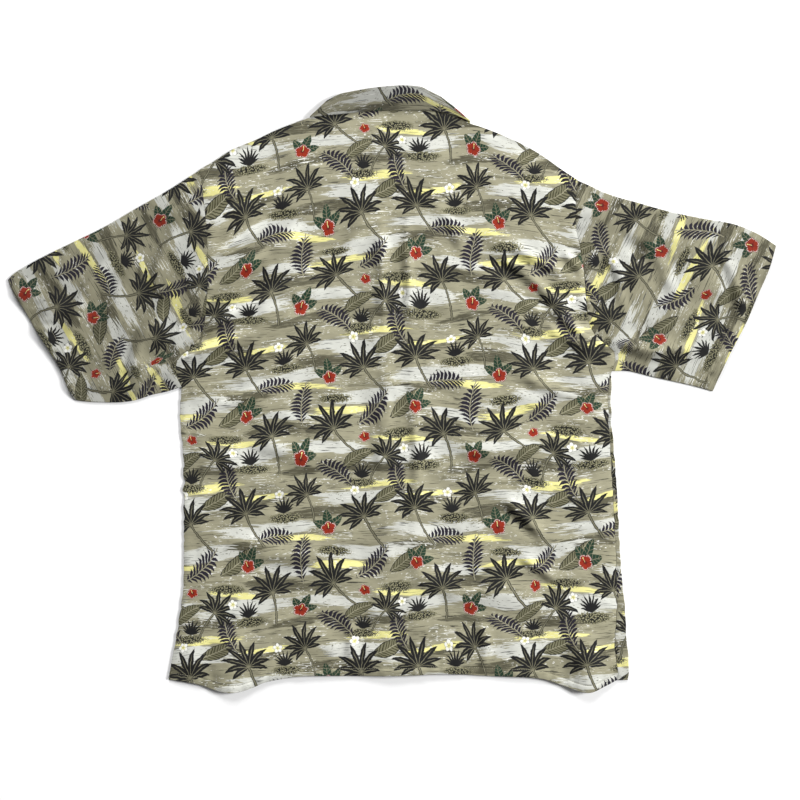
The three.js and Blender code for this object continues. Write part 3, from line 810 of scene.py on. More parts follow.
# Patches: x, y, half width, half height, tilt
CLUMPS = [(86, 36, 22, 6.5, 0), (40, 106, 24, 7, 0), (188, 82, 22, 6.5, 0), (6, 150, 24, 7, 0),
          (152, 194, 22, 6.5, 0)]
GREY_PATCHES = [(64, 20, 66, 10, 3), (190, 60, 56, 11, -4), (34, 124, 58, 12, 4), (150, 130, 44, 8, -3),
                (200, 196, 58, 10, 4), (92, 172, 36, 7, -5)]
YELLOW_PATCHES = [(110, 8, 40, 4.6, -6), (212, 80, 40, 5, 5), (14, 143, 36, 4.4, -5),
                  (160, 178, 42, 5, 5), (58, 66, 30, 3.6, 7)]
OLIVE_PATCHES = [(24, 62, 54, 8, -3), (138, 42, 46, 8, 4), (224, 104, 46, 8, 3), (94, 154, 52, 8, -4),
                 (24, 204, 48, 7, 3), (104, 100, 36, 6, 5)]


def ground(g, at):
    """The ground, brushed in long strokes, with patches."""
    strokes = g.noise(at, (0.014, 0.13, 0), 3.0)
    fine = g.noise(at, (0.03, 0.75, 0), 2.0)
    dashes = g.noise(at, (0.17, 0.8, 0), 1.0)
    ragged = g.math("MULTIPLY_ADD", strokes, 1.7, -0.85)
    ragged = g.math("ADD", ragged, g.math("MULTIPLY_ADD", fine, 1.3, -0.65))
    where = g.noise(at, (0.02, 0.06, 0), 1.0)
    tone = g.math("MULTIPLY_ADD", fine, 0.45, strokes)
    soft = g.math("MULTIPLY", g.span(strokes, 0.5, 0.66), 0.35)
    thin = g.math("MULTIPLY", g.span(tone, 0.8, 0.83), g.span(where, 0.5, 0.56, 0.0, 0.85))
    paint = g.over(TAUPE, SHADE, g.math("MAXIMUM", soft, thin))
    streaked = g.math("MULTIPLY_ADD", g.span(fine, 0.42, 0.46), 0.45, 0.45)
    paint = g.over(paint, OLIVE, g.math("MULTIPLY", g.patches(at, OLIVE_PATCHES, ragged), streaked))
    grey = g.patches(at, GREY_PATCHES, ragged)
    paint = g.over(paint, GREY, grey)
    paint = g.over(paint, YELLOW, g.patches(at, YELLOW_PATCHES, ragged))
    # dry-brushed lines, dark and pale, in places, and rows of short dashes
    pale_lines = g.math("MULTIPLY", g.span(fine, 0.65, 0.67), g.span(where, 0.54, 0.6))
    dark_lines = g.math("MULTIPLY", g.span(fine, 0.375, 0.355), g.span(where, 0.48, 0.44))
    paint = g.over(paint, CHARCOAL, g.math("MULTIPLY", dark_lines, 0.85))
    paint = g.over(paint, WHITE, pale_lines)
    dotted = g.math("MULTIPLY", g.span(dashes, 0.69, 0.71), g.span(where, 0.48, 0.54))
    return g.over(paint, g.over(WHITE, OLIVE, grey), dotted)


def clumps_and_grass(g, at, paint):
    """Low foliage with small leaves, and grass."""
    leaves = g.add("ShaderNodeTexVoronoi", {
        "Vector": g.vector("MULTIPLY", at, (0.36, 0.5, 0)), "Scale": 1.0,
    }, "Distance", voronoi_dimensions="2D")
    mound = g.patches(at, CLUMPS, g.math("MULTIPLY_ADD", leaves, 0.8, -0.3))
    foliage = g.over(LEAF, TAUPE, g.span(leaves, 0.26, 0.2))
    foliage = g.over(foliage, CHARCOAL, g.span(leaves, 0.42, 0.48))
    paint = g.over(paint, foliage, mound)
    point, radius = g.nearest(at, GRASS)
    inside, _, _ = g.spray(point, radius, math.radians(14), 4, 22.0, 0.5, 5.0, 0.35)
    return g.over(paint, CHARCOAL, g.span(inside, -0.1, 0.15))


def broad_leaves(g, at, paint):
    """Broad leaves with slanting veins, drawn in outline."""
    point, _ = g.nearest(at, BROAD_LEAVES)
    x, y = g.split(point)
    share = g.math("DIVIDE", g.math("ADD", y, 27.0), 54.0)
    x = g.math("MULTIPLY_ADD", g.math("MULTIPLY", y, y), 0.006, x)
    aside = g.math("ABSOLUTE", x)
    bulge = g.math("MULTIPLY", share, g.math("SUBTRACT", 1.0, share))
    half = g.math("MULTIPLY", bulge, g.math("MULTIPLY_ADD", share, -18.0, 46.0))
    inside = g.math("SUBTRACT", half, aside)
    veins = g.math("PINGPONG", g.math("MULTIPLY_ADD", aside, -0.9, y), 2.1)
    drawn_line = g.math("MAXIMUM", g.span(veins, 0.55, 0.3), g.span(inside, 0.95, 0.7))
    broad = g.over(LEAF, SHADE, g.span(veins, 1.2, 1.5))
    broad = g.over(broad, CHARCOAL, drawn_line)
    broad = g.over(broad, TAUPE, g.span(aside, 0.55, 0.3))
    return g.over(paint, broad, g.span(inside, -0.12, 0.12))


def fronds(g, at, paint):
    """Feather fronds."""
    point, _ = g.nearest(at, FRONDS)
    x, y = g.split(point)
    y = g.math("ADD", y, 29.0)
    x = g.math("MULTIPLY_ADD", g.math("MULTIPLY", y, y), -0.007, g.math("ADD", x, 7.0))
    aside = g.math("ABSOLUTE", x)
    base = g.math("MULTIPLY_ADD", g.math("MULTIPLY", aside, aside), 0.045, y)
    base = g.math("MULTIPLY_ADD", aside, -1.0, base)
    leaflet = g.math("ROUND", g.math("DIVIDE", base, 4.6))
    off = g.math("ABSOLUTE", g.math("MULTIPLY_ADD", leaflet, -4.6, base))
    share = g.math("MULTIPLY_ADD", leaflet, 4.6 / 56, 0.06)
    bulge = g.math("MULTIPLY", share, g.math("SUBTRACT", 1.0, share))
    reach = g.math("SUBTRACT", g.math("MULTIPLY_ADD", bulge, 66.0, -1.0), aside)
    half = g.math("MINIMUM", g.math("MULTIPLY", reach, 0.3), 1.75)
    frond = g.span(g.math("SUBTRACT", half, off), -0.12, 0.12)
    rib = g.math("MULTIPLY", g.span(aside, 0.75, 0.55), g.span(share, 0.0, 0.02))
    rib = g.math("MULTIPLY", rib, g.span(share, 1.0, 0.98))
    frond_paint = g.over(VIOLET, TAUPE, g.math("MULTIPLY", rib, 0.85))
    return g.over(paint, frond_paint, g.math("MAXIMUM", frond, rib))


def fan_leaves(g, at, paint):
    """Fan leaves on their stems."""
    point, radius = g.nearest(at, FAN_LEAVES)
    inside, along, aside = g.spray(point, radius, math.radians(24), 4, 31.0, 0.7, 10.5, 0.34)
    x, y = g.split(point)
    stem_x = g.math("ABSOLUTE", g.math("MULTIPLY_ADD", g.math("MULTIPLY", y, y), -0.006, x))
    stem = g.math("MULTIPLY", g.span(stem_x, 1.45, 1.2), g.span(y, -37.0, -36.5))
    stem = g.math("MULTIPLY", stem, g.span(y, 0.5, 0.0))
    vein = g.math("MULTIPLY", g.span(aside, 0.42, 0.2), g.span(along, 0.8, 0.6))
    paint = g.over(paint, g.over(SHADE, CHARCOAL, g.span(stem_x, 0.6, 0.85)), stem)
    return g.over(paint, g.over(CHARCOAL, SHADE, vein), g.span(inside, -0.12, 0.12))


def sprigs(g, at, paint):
    """Dark green sprigs of three leaves."""
    point, radius = g.nearest(at, SPRIGS)
    inside, _, aside = g.spray(point, radius, math.radians(52), 1, 25.0, 4.5, 21.0, 0.0)
    ribs = g.math("PINGPONG", g.math("MULTIPLY_ADD", aside, -0.8, radius), 2.0)
    veins = g.math("MAXIMUM", g.span(aside, 0.5, 0.25), g.span(ribs, 0.36, 0.16))
    return g.over(paint, g.over(GREEN, SHADE, veins), g.span(inside, -0.12, 0.12))


def pale_flowers(g, at, paint):
    """Small pale flowers."""
    point, _ = g.nearest(at, PALE_FLOWERS)
    edge, gap, radius, _ = g.petals(point, 5, 4.4, 5.2, 5.6)
    flower = g.over(WHITE, YELLOW, g.span(radius, 5.5, 2.5))
    flower = g.over(flower, SHADE, g.math("MULTIPLY", g.span(gap, 0.5, 0.2), 0.8))
    rimmed = g.over(CHARCOAL, flower, g.span(edge, 0.99, 0.9))
    return g.over(paint, rimmed, g.span(edge, 1.06, 1.02))


def red_flowers(g, at, paint):
    """Red flowers with pale streaked edges."""
    point, _ = g.nearest(at, RED_FLOWERS)
    edge, gap, radius, across = g.petals(point, 5, 9.0, 9.6, 9.8)
    streak = g.math("PINGPONG", g.math("DIVIDE", across, g.math("MULTIPLY_ADD", radius, 0.09, 0.25)), 0.8)
    flower = g.over(RED, WHITE, g.math("MULTIPLY", g.span(edge, 0.68, 0.76), g.span(streak, 0.44, 0.56)))
    flower = g.over(flower, CRIMSON, g.span(radius, 6.0, 3.5))
    flower = g.over(flower, CRIMSON, g.span(gap, 0.6, 0.25))
    rimmed = g.over(CHARCOAL, flower, g.span(edge, 1.0, 0.95))
    paint = g.over(paint, rimmed, g.span(edge, 1.06, 1.02))
    x, y = g.split(point)
    stamen = g.math("MULTIPLY", g.span(g.math("ABSOLUTE", x), 0.75, 0.5), g.span(y, 0.0, 0.5))
    stamen = g.math("MULTIPLY", stamen, g.span(y, 13.5, 13.0))
    tip = g.span(g.vector("DISTANCE", point, (0, 12.5, 0), out=1), 1.7, 1.5)
    return g.over(paint, YELLOW, g.math("MAXIMUM", stamen, tip))


def print_group():
    """The print's colour at a place on the cloth, as a node group."""
    tree = bpy.data.node_groups.new("leaf_and_flower_print", "ShaderNodeTree")
    tree.interface.new_socket("Cloth", in_out="INPUT", socket_type="NodeSocketVector")
    tree.interface.new_socket("Color", in_out="OUTPUT", socket_type="NodeSocketColor")
    g = Graph(tree)
    at_cloth = tree.nodes.new("NodeGroupInput").outputs[0]
    # a hand-drawn unevenness of every outline
    drawn = g.noise(at_cloth, (0.16, 0.16, 0), 3.0, "Color")
    shift = g.vector("MULTIPLY", g.vector("SUBTRACT", drawn, (0.5, 0.5, 0.5)), (2.6, 2.6, 0))
    at_drawn = g.vector("ADD", at_cloth, shift)
    paint = ground(g, at_cloth)
    for motif in (clumps_and_grass, broad_leaves, fronds, fan_leaves, sprigs, pale_flowers, red_flowers):
        paint = motif(g, at_drawn, paint)
    # uneven dye
    dye = g.span(g.noise(at_cloth, (0.012, 0.012, 0), 3.0), 0.3, 0.7, 0.94, 1.05)
    paint = g.add("ShaderNodeHueSaturation", {"Color": paint, "Value": dye})
    tree.links.new(paint, tree.nodes.new("NodeGroupOutput").inputs[0])
    return tree


def new_material(name):
    """A material, its graph and its shader's inputs."""
    material = bpy.data.materials.new(name)
    material.use_nodes = True
    tree = material.node_tree
    return material, Graph(tree), tree.nodes["Principled BSDF"].inputs


def cloth_material(name, group, wrong_side):
    material, g, shader = new_material(name)
    cloth = g.add("ShaderNodeAttribute", {}, "Vector", attribute_name="cloth")
    node = g.tree.nodes.new("ShaderNodeGroup")
    node.node_tree = group
    g.tree.links.new(cloth, node.inputs[0])
    paint = node.outputs[0]
    if wrong_side:
        paint = g.over(paint, colour(206, 203, 184), 0.55)
    # plain weave: threads over and under
    x, y = g.split(cloth)
    across = g.math("SINE", g.math("MULTIPLY", x, 2 * math.pi / THREAD_PITCH))
    along = g.math("SINE", g.math("MULTIPLY", y, 2 * math.pi / THREAD_PITCH))
    weave = g.math("MULTIPLY", across, along)
    slub = g.noise(cloth, (0.6, 0.08, 0), 2.0)
    height = g.math("MULTIPLY_ADD", slub, 1.2, g.math("MULTIPLY", weave, 0.5))
    bump = g.add("ShaderNodeBump", {"Strength": 0.35, "Distance": 0.00012, "Height": height})
    g.tree.links.new(bump, shader["Normal"])
    g.tree.links.new(g.span(slub, 0.3, 0.7, 0.74, 0.88), shader["Roughness"])
    # painted shade and highlight from the tone attribute, and the weave's raised threads painted a little
    # lighter than the sunk ones
    tone = g.add("ShaderNodeAttribute", {}, "Fac", attribute_name="tone")
    painted_shade = g.math("MULTIPLY", g.span(weave, -1.0, 1.0, 0.97, 1.03), tone)
    paint = g.add("ShaderNodeHueSaturation", {"Color": paint, "Value": painted_shade})
    g.tree.links.new(paint, shader["Base Color"])
    shader["Specular IOR Level"].default_value = 0.2
    shader["Sheen Weight"].default_value = 0.04
    shader["Sheen Roughness"].default_value = 0.5
    return material


def thread_material():
    material, g, shader = new_material("sewing_thread")
    place = g.add("ShaderNodeTexCoord", {}, "Object")
    twist = g.add("ShaderNodeTexWave", {"Vector": place, "Scale": 2400.0, "Distortion": 2.0}, "Fac",
                  bands_direction="DIAGONAL")
    mottle = g.add("ShaderNodeTexNoise", {"Vector": place, "Scale": 90.0}, "Fac")
    paint = g.over(colour(150, 146, 122), colour(172, 168, 142), mottle)
    g.tree.links.new(paint, shader["Base Color"])
    g.tree.links.new(g.span(mottle, 0.3, 0.7, 0.55, 0.7), shader["Roughness"])
    bump = g.add("ShaderNodeBump", {"Strength": 0.4, "Distance": 0.0001, "Height": twist})
    g.tree.links.new(bump, shader["Normal"])
    return material


def shell_material():
    material, g, shader = new_material("coconut_button")
    place = g.add("ShaderNodeTexCoord", {}, "Object")
    grain = g.add("ShaderNodeTexNoise", {
        "Vector": g.vector("MULTIPLY", place, (420, 1500, 420)), "Scale": 1.0, "Detail": 4.0}, "Fac")
    paint = g.over(colour(92, 70, 46), colour(142, 116, 82), g.span(grain, 0.35, 0.7))
    g.tree.links.new(paint, shader["Base Color"])
    g.tree.links.new(g.span(grain, 0.3, 0.7, 0.3, 0.5), shader["Roughness"])
    bump = g.add("ShaderNodeBump", {"Strength": 0.2, "Distance": 0.0002, "Height": grain})
    g.tree.links.new(bump, shader["Normal"])
    return material


PRINT = print_group()
OUTER = cloth_material("printed_cloth", PRINT, False)
INNER = cloth_material("printed_cloth_wrong_side", PRINT, True)
THREAD = thread_material()
SHELL = shell_material()
FABRIC = [OUTER, INNER]


# Panels
def back_panel():
    halves = spread(600, 178, EDGE_STEPS, EDGE_STEPS) * 2 - 1
    u = (1 + halves) / 2
    v = panel_rows(116, 96)
    neck = at(LINES["neck_back"], np.clip((1 + halves / NECK_SHARE) / 2, 0, 1))
    over = np.clip((np.abs(halves) - NECK_SHARE) / (1 - NECK_SHARE), 0, 1)
    left_top, right_top = at(LINES["left_shoulder"], over), at(LINES["right_shoulder"], over)
    shoulder = np.where((halves < 0)[:, None], left_top, right_top)
    top = np.where((np.abs(halves) <= NECK_SHARE)[:, None], neck, shoulder)
    right = side_of("right_side", "right_armhole", v)
    low = v < SIDE_SHARE
    seam = right_fold(v, right) - wrap_width(v, right[:, 1]) - SIDE_SEAM_GAP
    right[low, 0] = seam[low]
    plan = filled(at(LINES["hem"], u), top, side_of("left_side", "left_armhole", v, 7), right, u, v)
    x, y = plan[..., 0], plan[..., 1]
    mid = raised(plan, back_height)
    distance = v[:, None] * PANEL_LENGTH + 0 * u[None]
    from_side = from_closed_edge(x, y)
    mid[..., 2] += hem_relief(distance, x, HEM_TURN, 21) * ease(from_side / 14)
    from_seam = np.where(low, right[:, 0], 1e9)[:, None] - x
    mid[..., 2] -= SIDE_SEAM_DIP * bell(from_seam, 2.2)
    # painted shade in the hollows and along the turned edges, and painted highlight on the crests
    tone = painted_crease_shade(x, y) * painted_edge_shade(np.minimum(distance, from_side))
    return Shell(mid, draped(x, y), tone=tone), v


def inner_edge(v, side):
    s = np.clip(v / NECK_ROW_SHARE, 0, 1)
    y = mix(FRONT_HEM_Y, FRONT_NECK_Y, s)
    straight = np.stack([centre_x(y) - side * PLACKET_HALF, y], axis=-1)
    name = "neck_left" if side < 0 else "neck_right"
    neck = at(LINES[name], 1 - np.clip((v - NECK_ROW_SHARE) / (1 - NECK_ROW_SHARE), 0, 1))
    return np.where((v <= NECK_ROW_SHARE)[:, None], straight, neck)


def front_hem(start, end, u):
    dip = mix(start[1], end[1], u)
    y = mix(dip, FRONT_HEM_Y, ease(8 * np.minimum(u, 1 - u)))
    return np.stack([mix(start[0], end[0], u), y], axis=-1)


def front_rows():
    low = spread(400, 112, HEM_STEPS) * SIDE_SHARE
    middle = np.linspace(SIDE_SHARE, NECK_ROW_SHARE, 46)[1:]
    high = NECK_ROW_SHARE + (1 - NECK_ROW_SHARE) * spread(170, 48, (), EDGE_STEPS)[1:]
    return np.concatenate([low, middle, high])


FRONT_WIDTH = 290
PLACKET_STEPS = (0.5, 1.3, 2.6, 4.4, 5, 5.6, 6.2, 8, 12, 20, 28, 29.4, 30, 30.6, 32)


def front_columns():
    return spread(FRONT_WIDTH, 84, PLACKET_STEPS, EDGE_STEPS)


def placket_relief(distance, along, seed):
    """Edge stitching and the inner row of stitching of a front band, on the side that shows."""
    rows = sum(bell(distance - place, 0.8) for place in BAND_ROWS)
    pucker = 0.12 * wobble(along, 12, seed) * (bell(distance - 5, 5) + bell(distance - 30, 5))
    return 0.25 * rows + np.abs(pucker)


def front_panel(side):
    """The left front, side -1, or the right one, side 1, and the last column of its flat part."""
    v = front_rows()
    inner = inner_edge(v, side)
    outward = front_columns()
    if side < 0:
        edge = side_of("left_side", "left_armhole", v, 7)
        u = 1 - outward[::-1]
        top = at(LINES["left_shoulder"], 1 - u)
        plan = filled(front_hem(edge[0], inner[0], u), top, edge, inner, u, v)
    else:
        edge = side_of("right_side", "right_armhole", v)
        low = v < SIDE_SHARE
        edge[low, 0] = right_fold(v, edge)[low]
        u = outward
        top = at(LINES["right_shoulder"], u)
        plan = filled(front_hem(inner[0], edge[0], u), top, inner, edge, u, v)
    x, y = plan[..., 0], plan[..., 1]
    height = left_front_height if side < 0 else right_front_height
    mid = raised(plan, height)
    from_placket = np.abs(x - inner[:, None, 0])
    below_neck = (v <= NECK_ROW_SHARE)[:, None]
    mid[..., 2] += front_detail(x, y) * ease(from_placket / 60)
    mid[..., 2] += np.where(below_neck, placket_relief(from_placket, y, 31), 0)
    cloth = np.stack([centre_x(y) - x + 60 * side, y + FRONT_PRINT_UP], axis=-1)
    if side < 0:
        return Shell(mid, cloth), v, len(u) - 1
    # the side turns over onto the back
    columns, prints = [mid], [cloth]
    turns = np.linspace(0, math.pi, 9)[1:]
    base = mid[:, -1]
    bend = FOLD_R * np.sin(turns)[None]
    rise = FOLD_R * (1 - np.cos(turns))[None]
    fold = np.stack([base[:, :1] + bend, base[:, 1:2] + 0 * bend, base[:, 2:3] + rise], axis=-1)
    columns.append(fold)
    reach = cloth[:, -1, 0][:, None] - FOLD_R * turns[None]
    prints.append(np.stack([reach, cloth[:, -1, 1][:, None] + 0 * reach], axis=-1))
    steps = np.array([0.12, 0.3, 0.5, 0.7, 0.88, 0.95, 1.0])[None]
    width = wrap_width(v, base[:, 1])[:, None]
    inward = width * steps
    wx = base[:, :1] - inward
    wy = base[:, 1:2] + 0 * inward
    lie = back_height(wx, wy) + 0.1 - SIDE_SEAM_DIP * bell(width - inward, 2.2)
    start = (base[:, 2] + 2 * FOLD_R)[:, None]
    wz = mix(start, lie, ease(steps * 1.2))
    columns.append(np.stack([wx, wy, wz], axis=-1))
    prints.append(np.stack([reach[:, -1:] - inward, wy + FRONT_PRINT_UP], axis=-1))
    mid = np.concatenate(columns, axis=1)
    cloth = np.concatenate(prints, axis=1)
    cells = np.ones((len(v) - 1, mid.shape[1] - 1), bool)
    cells[:, len(u) - 1:] = (v[1:] <= SIDE_SHARE - 0.002)[:, None]
    # the side strip that lies on the back is painted darker, as shade
    tone = np.where(np.arange(mid.shape[1]) < len(u), 1.0, PIECE_PAINTED_SHADE["side_strip"])
    return Shell(mid, cloth, cells=cells, tone=tone[None]), v, len(u) - 1


def sleeve(side):
    """A flattened tube: lower layer, fold along the top, upper layer, underarm seam."""
    name = "left" if side < 0 else "right"
    u = spread(300, 92, EDGE_STEPS, EDGE_STEPS)
    v = 1 - spread(270, 66, CUFF_STEPS, (0.5, 1.2, 2.2, 3.6, 6))[::-1]
    plan = filled(at(LINES[f"{name}_armhole"], u), at(LINES[f"{name}_cuff"], u),
                  at(LINES[f"{name}_sleeve_under"], v), at(LINES[f"{name}_sleeve_top"], v), u, v)
    # the first row stays clear of the body, and the rows next to it close up
    step = unit(plan[8] - plan[0])
    push = SEAM_GAP * np.clip(1 - v / v[8], 0, 1)
    plan = plan + push[:, None, None] * step[None]
    inset = FOLD_R + CLOTH / 2
    to_top = unit(plan[:, -1] - plan[:, -2])
    to_under = unit(plan[:, 0] - plan[:, 1])
    shares = np.linspace(0, 1, len(u))
    plan = plan - inset * to_top[:, None] * ease((shares - 0.9) / 0.1)[None, :, None]
    plan = plan - inset * to_under[:, None] * ease((0.1 - shares) / 0.1)[None, :, None]
    lower = raised(plan, lambda x, y: left_front_height(x, y) + front_detail(x, y))
    upper = raised(plan, back_height)
    from_cuff = (1 - v)[:, None] * LINES[f"{name}_sleeve_top"][1][-1]
    along = u[None] * LINES[f"{name}_cuff"][1][-1]
    relief = hem_relief(from_cuff + 0 * along, along + 0 * from_cuff, CUFF_TURN, 23 + side)
    upper[..., 2] += relief * ease(np.minimum(u, 1 - u) / 0.04)[None]

    def fold(start, end, direction):
        swing = np.linspace(0, math.pi, 9)[1:-1]
        radius = (end[:, 2] - start[:, 2]) / 2
        out = np.abs(radius)[:, None] * np.sin(swing)[None]
        x = start[:, :1] + direction[:, :1] * out
        y = start[:, 1:2] + direction[:, 1:2] * out
        z = start[:, 2:3] + radius[:, None] * (1 - np.cos(swing))[None]
        return np.stack([x, y, z], axis=-1)

    mid = np.concatenate([
        lower, fold(lower[:, -1], upper[:, -1], to_top),
        upper[:, ::-1], fold(upper[:, 0], lower[:, 0], to_under)], axis=1)
    # the print runs round the sleeve from the fold at its top and up from the cuff
    cuff = LINES[f"{name}_cuff"][0]
    upward = np.array([-(cuff[-1] - cuff[0])[1], (cuff[-1] - cuff[0])[0]]) * side
    upward = upward / np.hypot(*upward)
    rise = mid[..., 0] * upward[0] + mid[..., 1] * upward[1]
    arc = arc_along(mid, axis=1)
    top_column = len(u) + 3
    round_top = arc - arc[:, top_column:top_column + 1]
    cloth = np.stack([side * round_top + 90 * side, rise + 70], axis=-1)
    if side < 0:
        mid, cloth = mid[:, ::-1], cloth[:, ::-1]
    # painted shade: the sleeve darker all over, darker in its creases and at its cuff, with painted
    # highlight on the crests
    tone = PIECE_PAINTED_SHADE[f"{name}_sleeve"] * painted_crease_shade(mid[..., 0], mid[..., 1]) * painted_edge_shade(from_cuff)
    return Shell(mid, cloth, closed=True, tone=tone), v


def collar_band():
    """One band: stand, roll and fall, from one end at the centre front round to the other."""
    stand_count = 8
    roll_count = 13
    back_stand = FLOOR + 2 * LAYER + COLLAR_CLEAR
    levels = {
        "stand": (FLOOR + LAYER, back_stand),
        "fall": (FLOOR + 0.15, back_stand + COLLAR_FALL_RISE),
    }
    stations = []
    for side in (-1, 1):
        front = "left" if side < 0 else "right"
        back_shares = np.linspace(0, 1, 46)
        rows = [(side, "back", (1 + side * share) / 2, 0.0) for share in back_shares]
        rows += [(side, "back", (1 + side) / 2, math.pi * s) for s in np.linspace(0, 1, 15)[1:-1]]
        rows += [(side, front, share, math.pi) for share in np.linspace(0, 1, 56)]
        stations += rows[::-1] if side < 0 else rows[1:]
    mid = []
    for side, part, share, turn in stations:
        neck, roll, edge = (at(LINES[f"{line}_{part}"], share) for line in ("neck", "roll", "edge"))

        def at_level(point, level, along, turn=turn, side=side):
            away = np.array([-along[1], along[0]]) * -side
            low, high = levels[level]
            radius = (high - low) / 2
            plan = point + away * radius * 0.35 * math.sin(turn)
            return np.array([*plan, (high + low) / 2 + radius * math.cos(turn)])

        up, down = unit(roll - neck), unit(edge - roll)
        reach = roll - up * (LAYER + WALL) / 2
        foot = at_level(neck + up, "stand", up)
        stand_top = at_level(reach, "stand", up)
        fall_top = at_level(reach, "fall", up)
        fall_edge = at_level(edge, "fall", -down)
        hub = (stand_top + fall_top) / 2
        arm = stand_top - hub
        length = np.linalg.norm(arm)
        swing = np.linspace(0, math.pi, roll_count)
        upward = np.array([*up, 0])
        rolled = hub + arm * np.cos(swing)[:, None] + upward * length * np.sin(swing)[:, None]
        stand = foot + (stand_top - foot) * np.linspace(0, 1, stand_count + 1)[:-1, None]
        span = np.linalg.norm(fall_edge - fall_top)
        steps = spread(span, 14, (), (0.5, 1.4, 4.2, 5.2, 5.8, 6.6))
        fall = fall_top + (fall_edge - fall_top) * steps[1:, None]
        mid.append(np.concatenate([stand, rolled, fall]))
    mid = np.array(mid)
    # the fall bows up a little from the back and is uneven along its edge
    count = mid.shape[1]
    fall_start = stand_count + roll_count
    fall_share = np.clip((np.arange(count) - fall_start) / (count - fall_start - 1), 0, 1)
    above = np.clip((mid[:, -1, 2] - 4) / 2, 0, 1)[:, None]
    uneven = 0.25 * wobble(arc_along(mid[:, -1]), 60, 51)[:, None]
    lift = 0.5 * np.sin(math.pi * fall_share)[None] + uneven * fall_share[None]
    from_edge = np.linalg.norm(mid - mid[:, -1:], axis=2)
    stitched = -0.25 * bell(from_edge - COLLAR_ROW, 0.8) * (fall_share > 0)[None]
    mid[..., 2] += above * (np.maximum(lift, -0.2) + stitched)
    mid[0, :, 0] -= 0.4
    mid[-1, :, 0] += 0.4
    # the print runs along the roll and down from the foot of the stand
    down = arc_along(mid, axis=1)
    round_neck = arc_along(mid[:, stand_count + roll_count // 2])[:, None] + 0 * down
    cloth = np.stack([round_neck + 60, 262 - down], axis=-1)
    # the collar's cloth is painted darker all over, as shade
    return Shell(mid[:, ::-1], cloth[:, ::-1], thick=COLLAR_THICK, tone=PIECE_PAINTED_SHADE["collar"])


# Stitches
def stitches(name, rows, radius=0.24, length=2.3, pitch=3.1):
    """Rows of short threads along lines on the cloth; each row is points and normals."""
    sides, profile = 6, ((-0.5, 0.25), (-0.3, 0.95), (0.3, 0.95), (0.5, 0.25))
    points, faces = [], []
    for line, normals in rows:
        arc = arc_along(line)
        count = int(arc[-1] / pitch)
        for k in range(count):
            middle = (k + 0.5) * pitch
            ends = [np.array([np.interp(s, arc, line[:, a]) for a in range(3)])
                    for s in (middle - length / 2, middle + length / 2)]
            up = unit(np.array([np.interp(middle, arc, normals[:, a]) for a in range(3)]))
            along = unit(ends[1] - ends[0])
            aside = unit(np.cross(up, along))
            faces += tube_faces(len(profile), sides, len(points))
            for share, wide in profile:
                centre = (ends[0] + ends[1]) / 2 + along * share * length
                for q in range(sides):
                    angle = 2 * math.pi * q / sides
                    ring = aside * math.cos(angle) + up * math.sin(angle)
                    points.append(centre + ring * radius * wide)
    return worn_as(placed(name, mesh_of(name, points, faces, [THREAD])))


def index_at(value, values):
    """The fractional index at which rising values reach a value."""
    return float(np.interp(value, values, np.arange(len(values))))


def row_of(shell, row, start, end, count, side):
    """A line across a piece, from one column to another."""
    return shell.along(np.full(count, row), np.linspace(start, end, count), side, 0.02)


def sewn_back():
    shell, v = back_panel()
    last = shell.mid.shape[1] - 1
    hem_row = index_at((HEM_TURN - 1) / PANEL_LENGTH, v)
    line = row_of(shell, hem_row, 0.01 * last, 0.99 * last, 400, 1)
    piece = worn_as(shell.mesh("shirt_back", FABRIC, True), "back")
    return piece, stitches("back_hem_stitches", [line])


def sewn_front(label, side):
    shell, v, last = front_panel(side)
    hem_row = index_at((HEM_TURN - 1) / PANEL_LENGTH, v)
    start, end = (0.02, 0.93) if side > 0 else (0.07, 0.98)
    lines = [row_of(shell, hem_row, start * last, end * last, 300, -1)]
    rows = np.linspace(3, index_at(NECK_ROW_SHARE, v) - 1, 500)
    for distance in BAND_ROWS:
        column = index_at(distance, front_columns() * FRONT_WIDTH)
        column = last - column if side < 0 else column
        lines.append(shell.along(rows, np.full(len(rows), column), -1, 0.02))
    piece = shell.mesh(f"shirt_front_{label}", FABRIC, False)
    return worn_as(piece, f"front_{label}"), stitches(f"front_{label}_stitches", lines)


def sewn_sleeve(label, side):
    shell, v = sleeve(side)
    length = LINES[f"{label}_sleeve_top"][1][-1]
    cuff_row = index_at(1 - (CUFF_TURN - 1) / length, v)
    line = row_of(shell, cuff_row, 0, shell.mid.shape[1] - 0.01, 700, 1)
    piece = shell.mesh(f"shirt_sleeve_{label}", FABRIC, True)
    return worn_as(piece, f"sleeve_{label}"), stitches(f"sleeve_{label}_stitches", [line])


def sewn_collar():
    shell = collar_band()
    from_edge = np.linalg.norm(shell.mid - shell.mid[:, :1], axis=2)
    edge_columns = [index_at(COLLAR_ROW, row[:10]) for row in from_edge]
    stations = np.linspace(3, len(shell.mid) - 4, 900)
    columns = np.interp(stations, np.arange(len(edge_columns)), edge_columns)
    piece = worn_as(shell.mesh("shirt_collar", [OUTER, OUTER], True), "collar")
    return piece, stitches("collar_stitches", [shell.along(stations, columns, 1, 0.02)])


SIDES = {"left": -1, "right": 1}
back, back_stitches = sewn_back()
fronts = {label: sewn_front(label, side) for label, side in SIDES.items()}
sleeves = {label: sewn_sleeve(label, side) for label, side in SIDES.items()}
collar, collar_stitches = sewn_collar()


# Buttons
def lathe(profile, sides):
    points, faces = [], []
    for r, z in profile:
        for q in range(sides):
            angle = 2 * math.pi * q / sides
            points.append((r * math.cos(angle), r * math.sin(angle), z))
    for level in range(len(profile) - 1):
        for q in range(sides):
            a = level * sides + q
            b = level * sides + (q + 1) % sides
            faces.append((a, a + sides, b + sides, b))
    faces.append(tuple(range(sides)))
    last = (len(profile) - 1) * sides
    faces.append(tuple(last + q for q in reversed(range(sides))))
    return points, faces


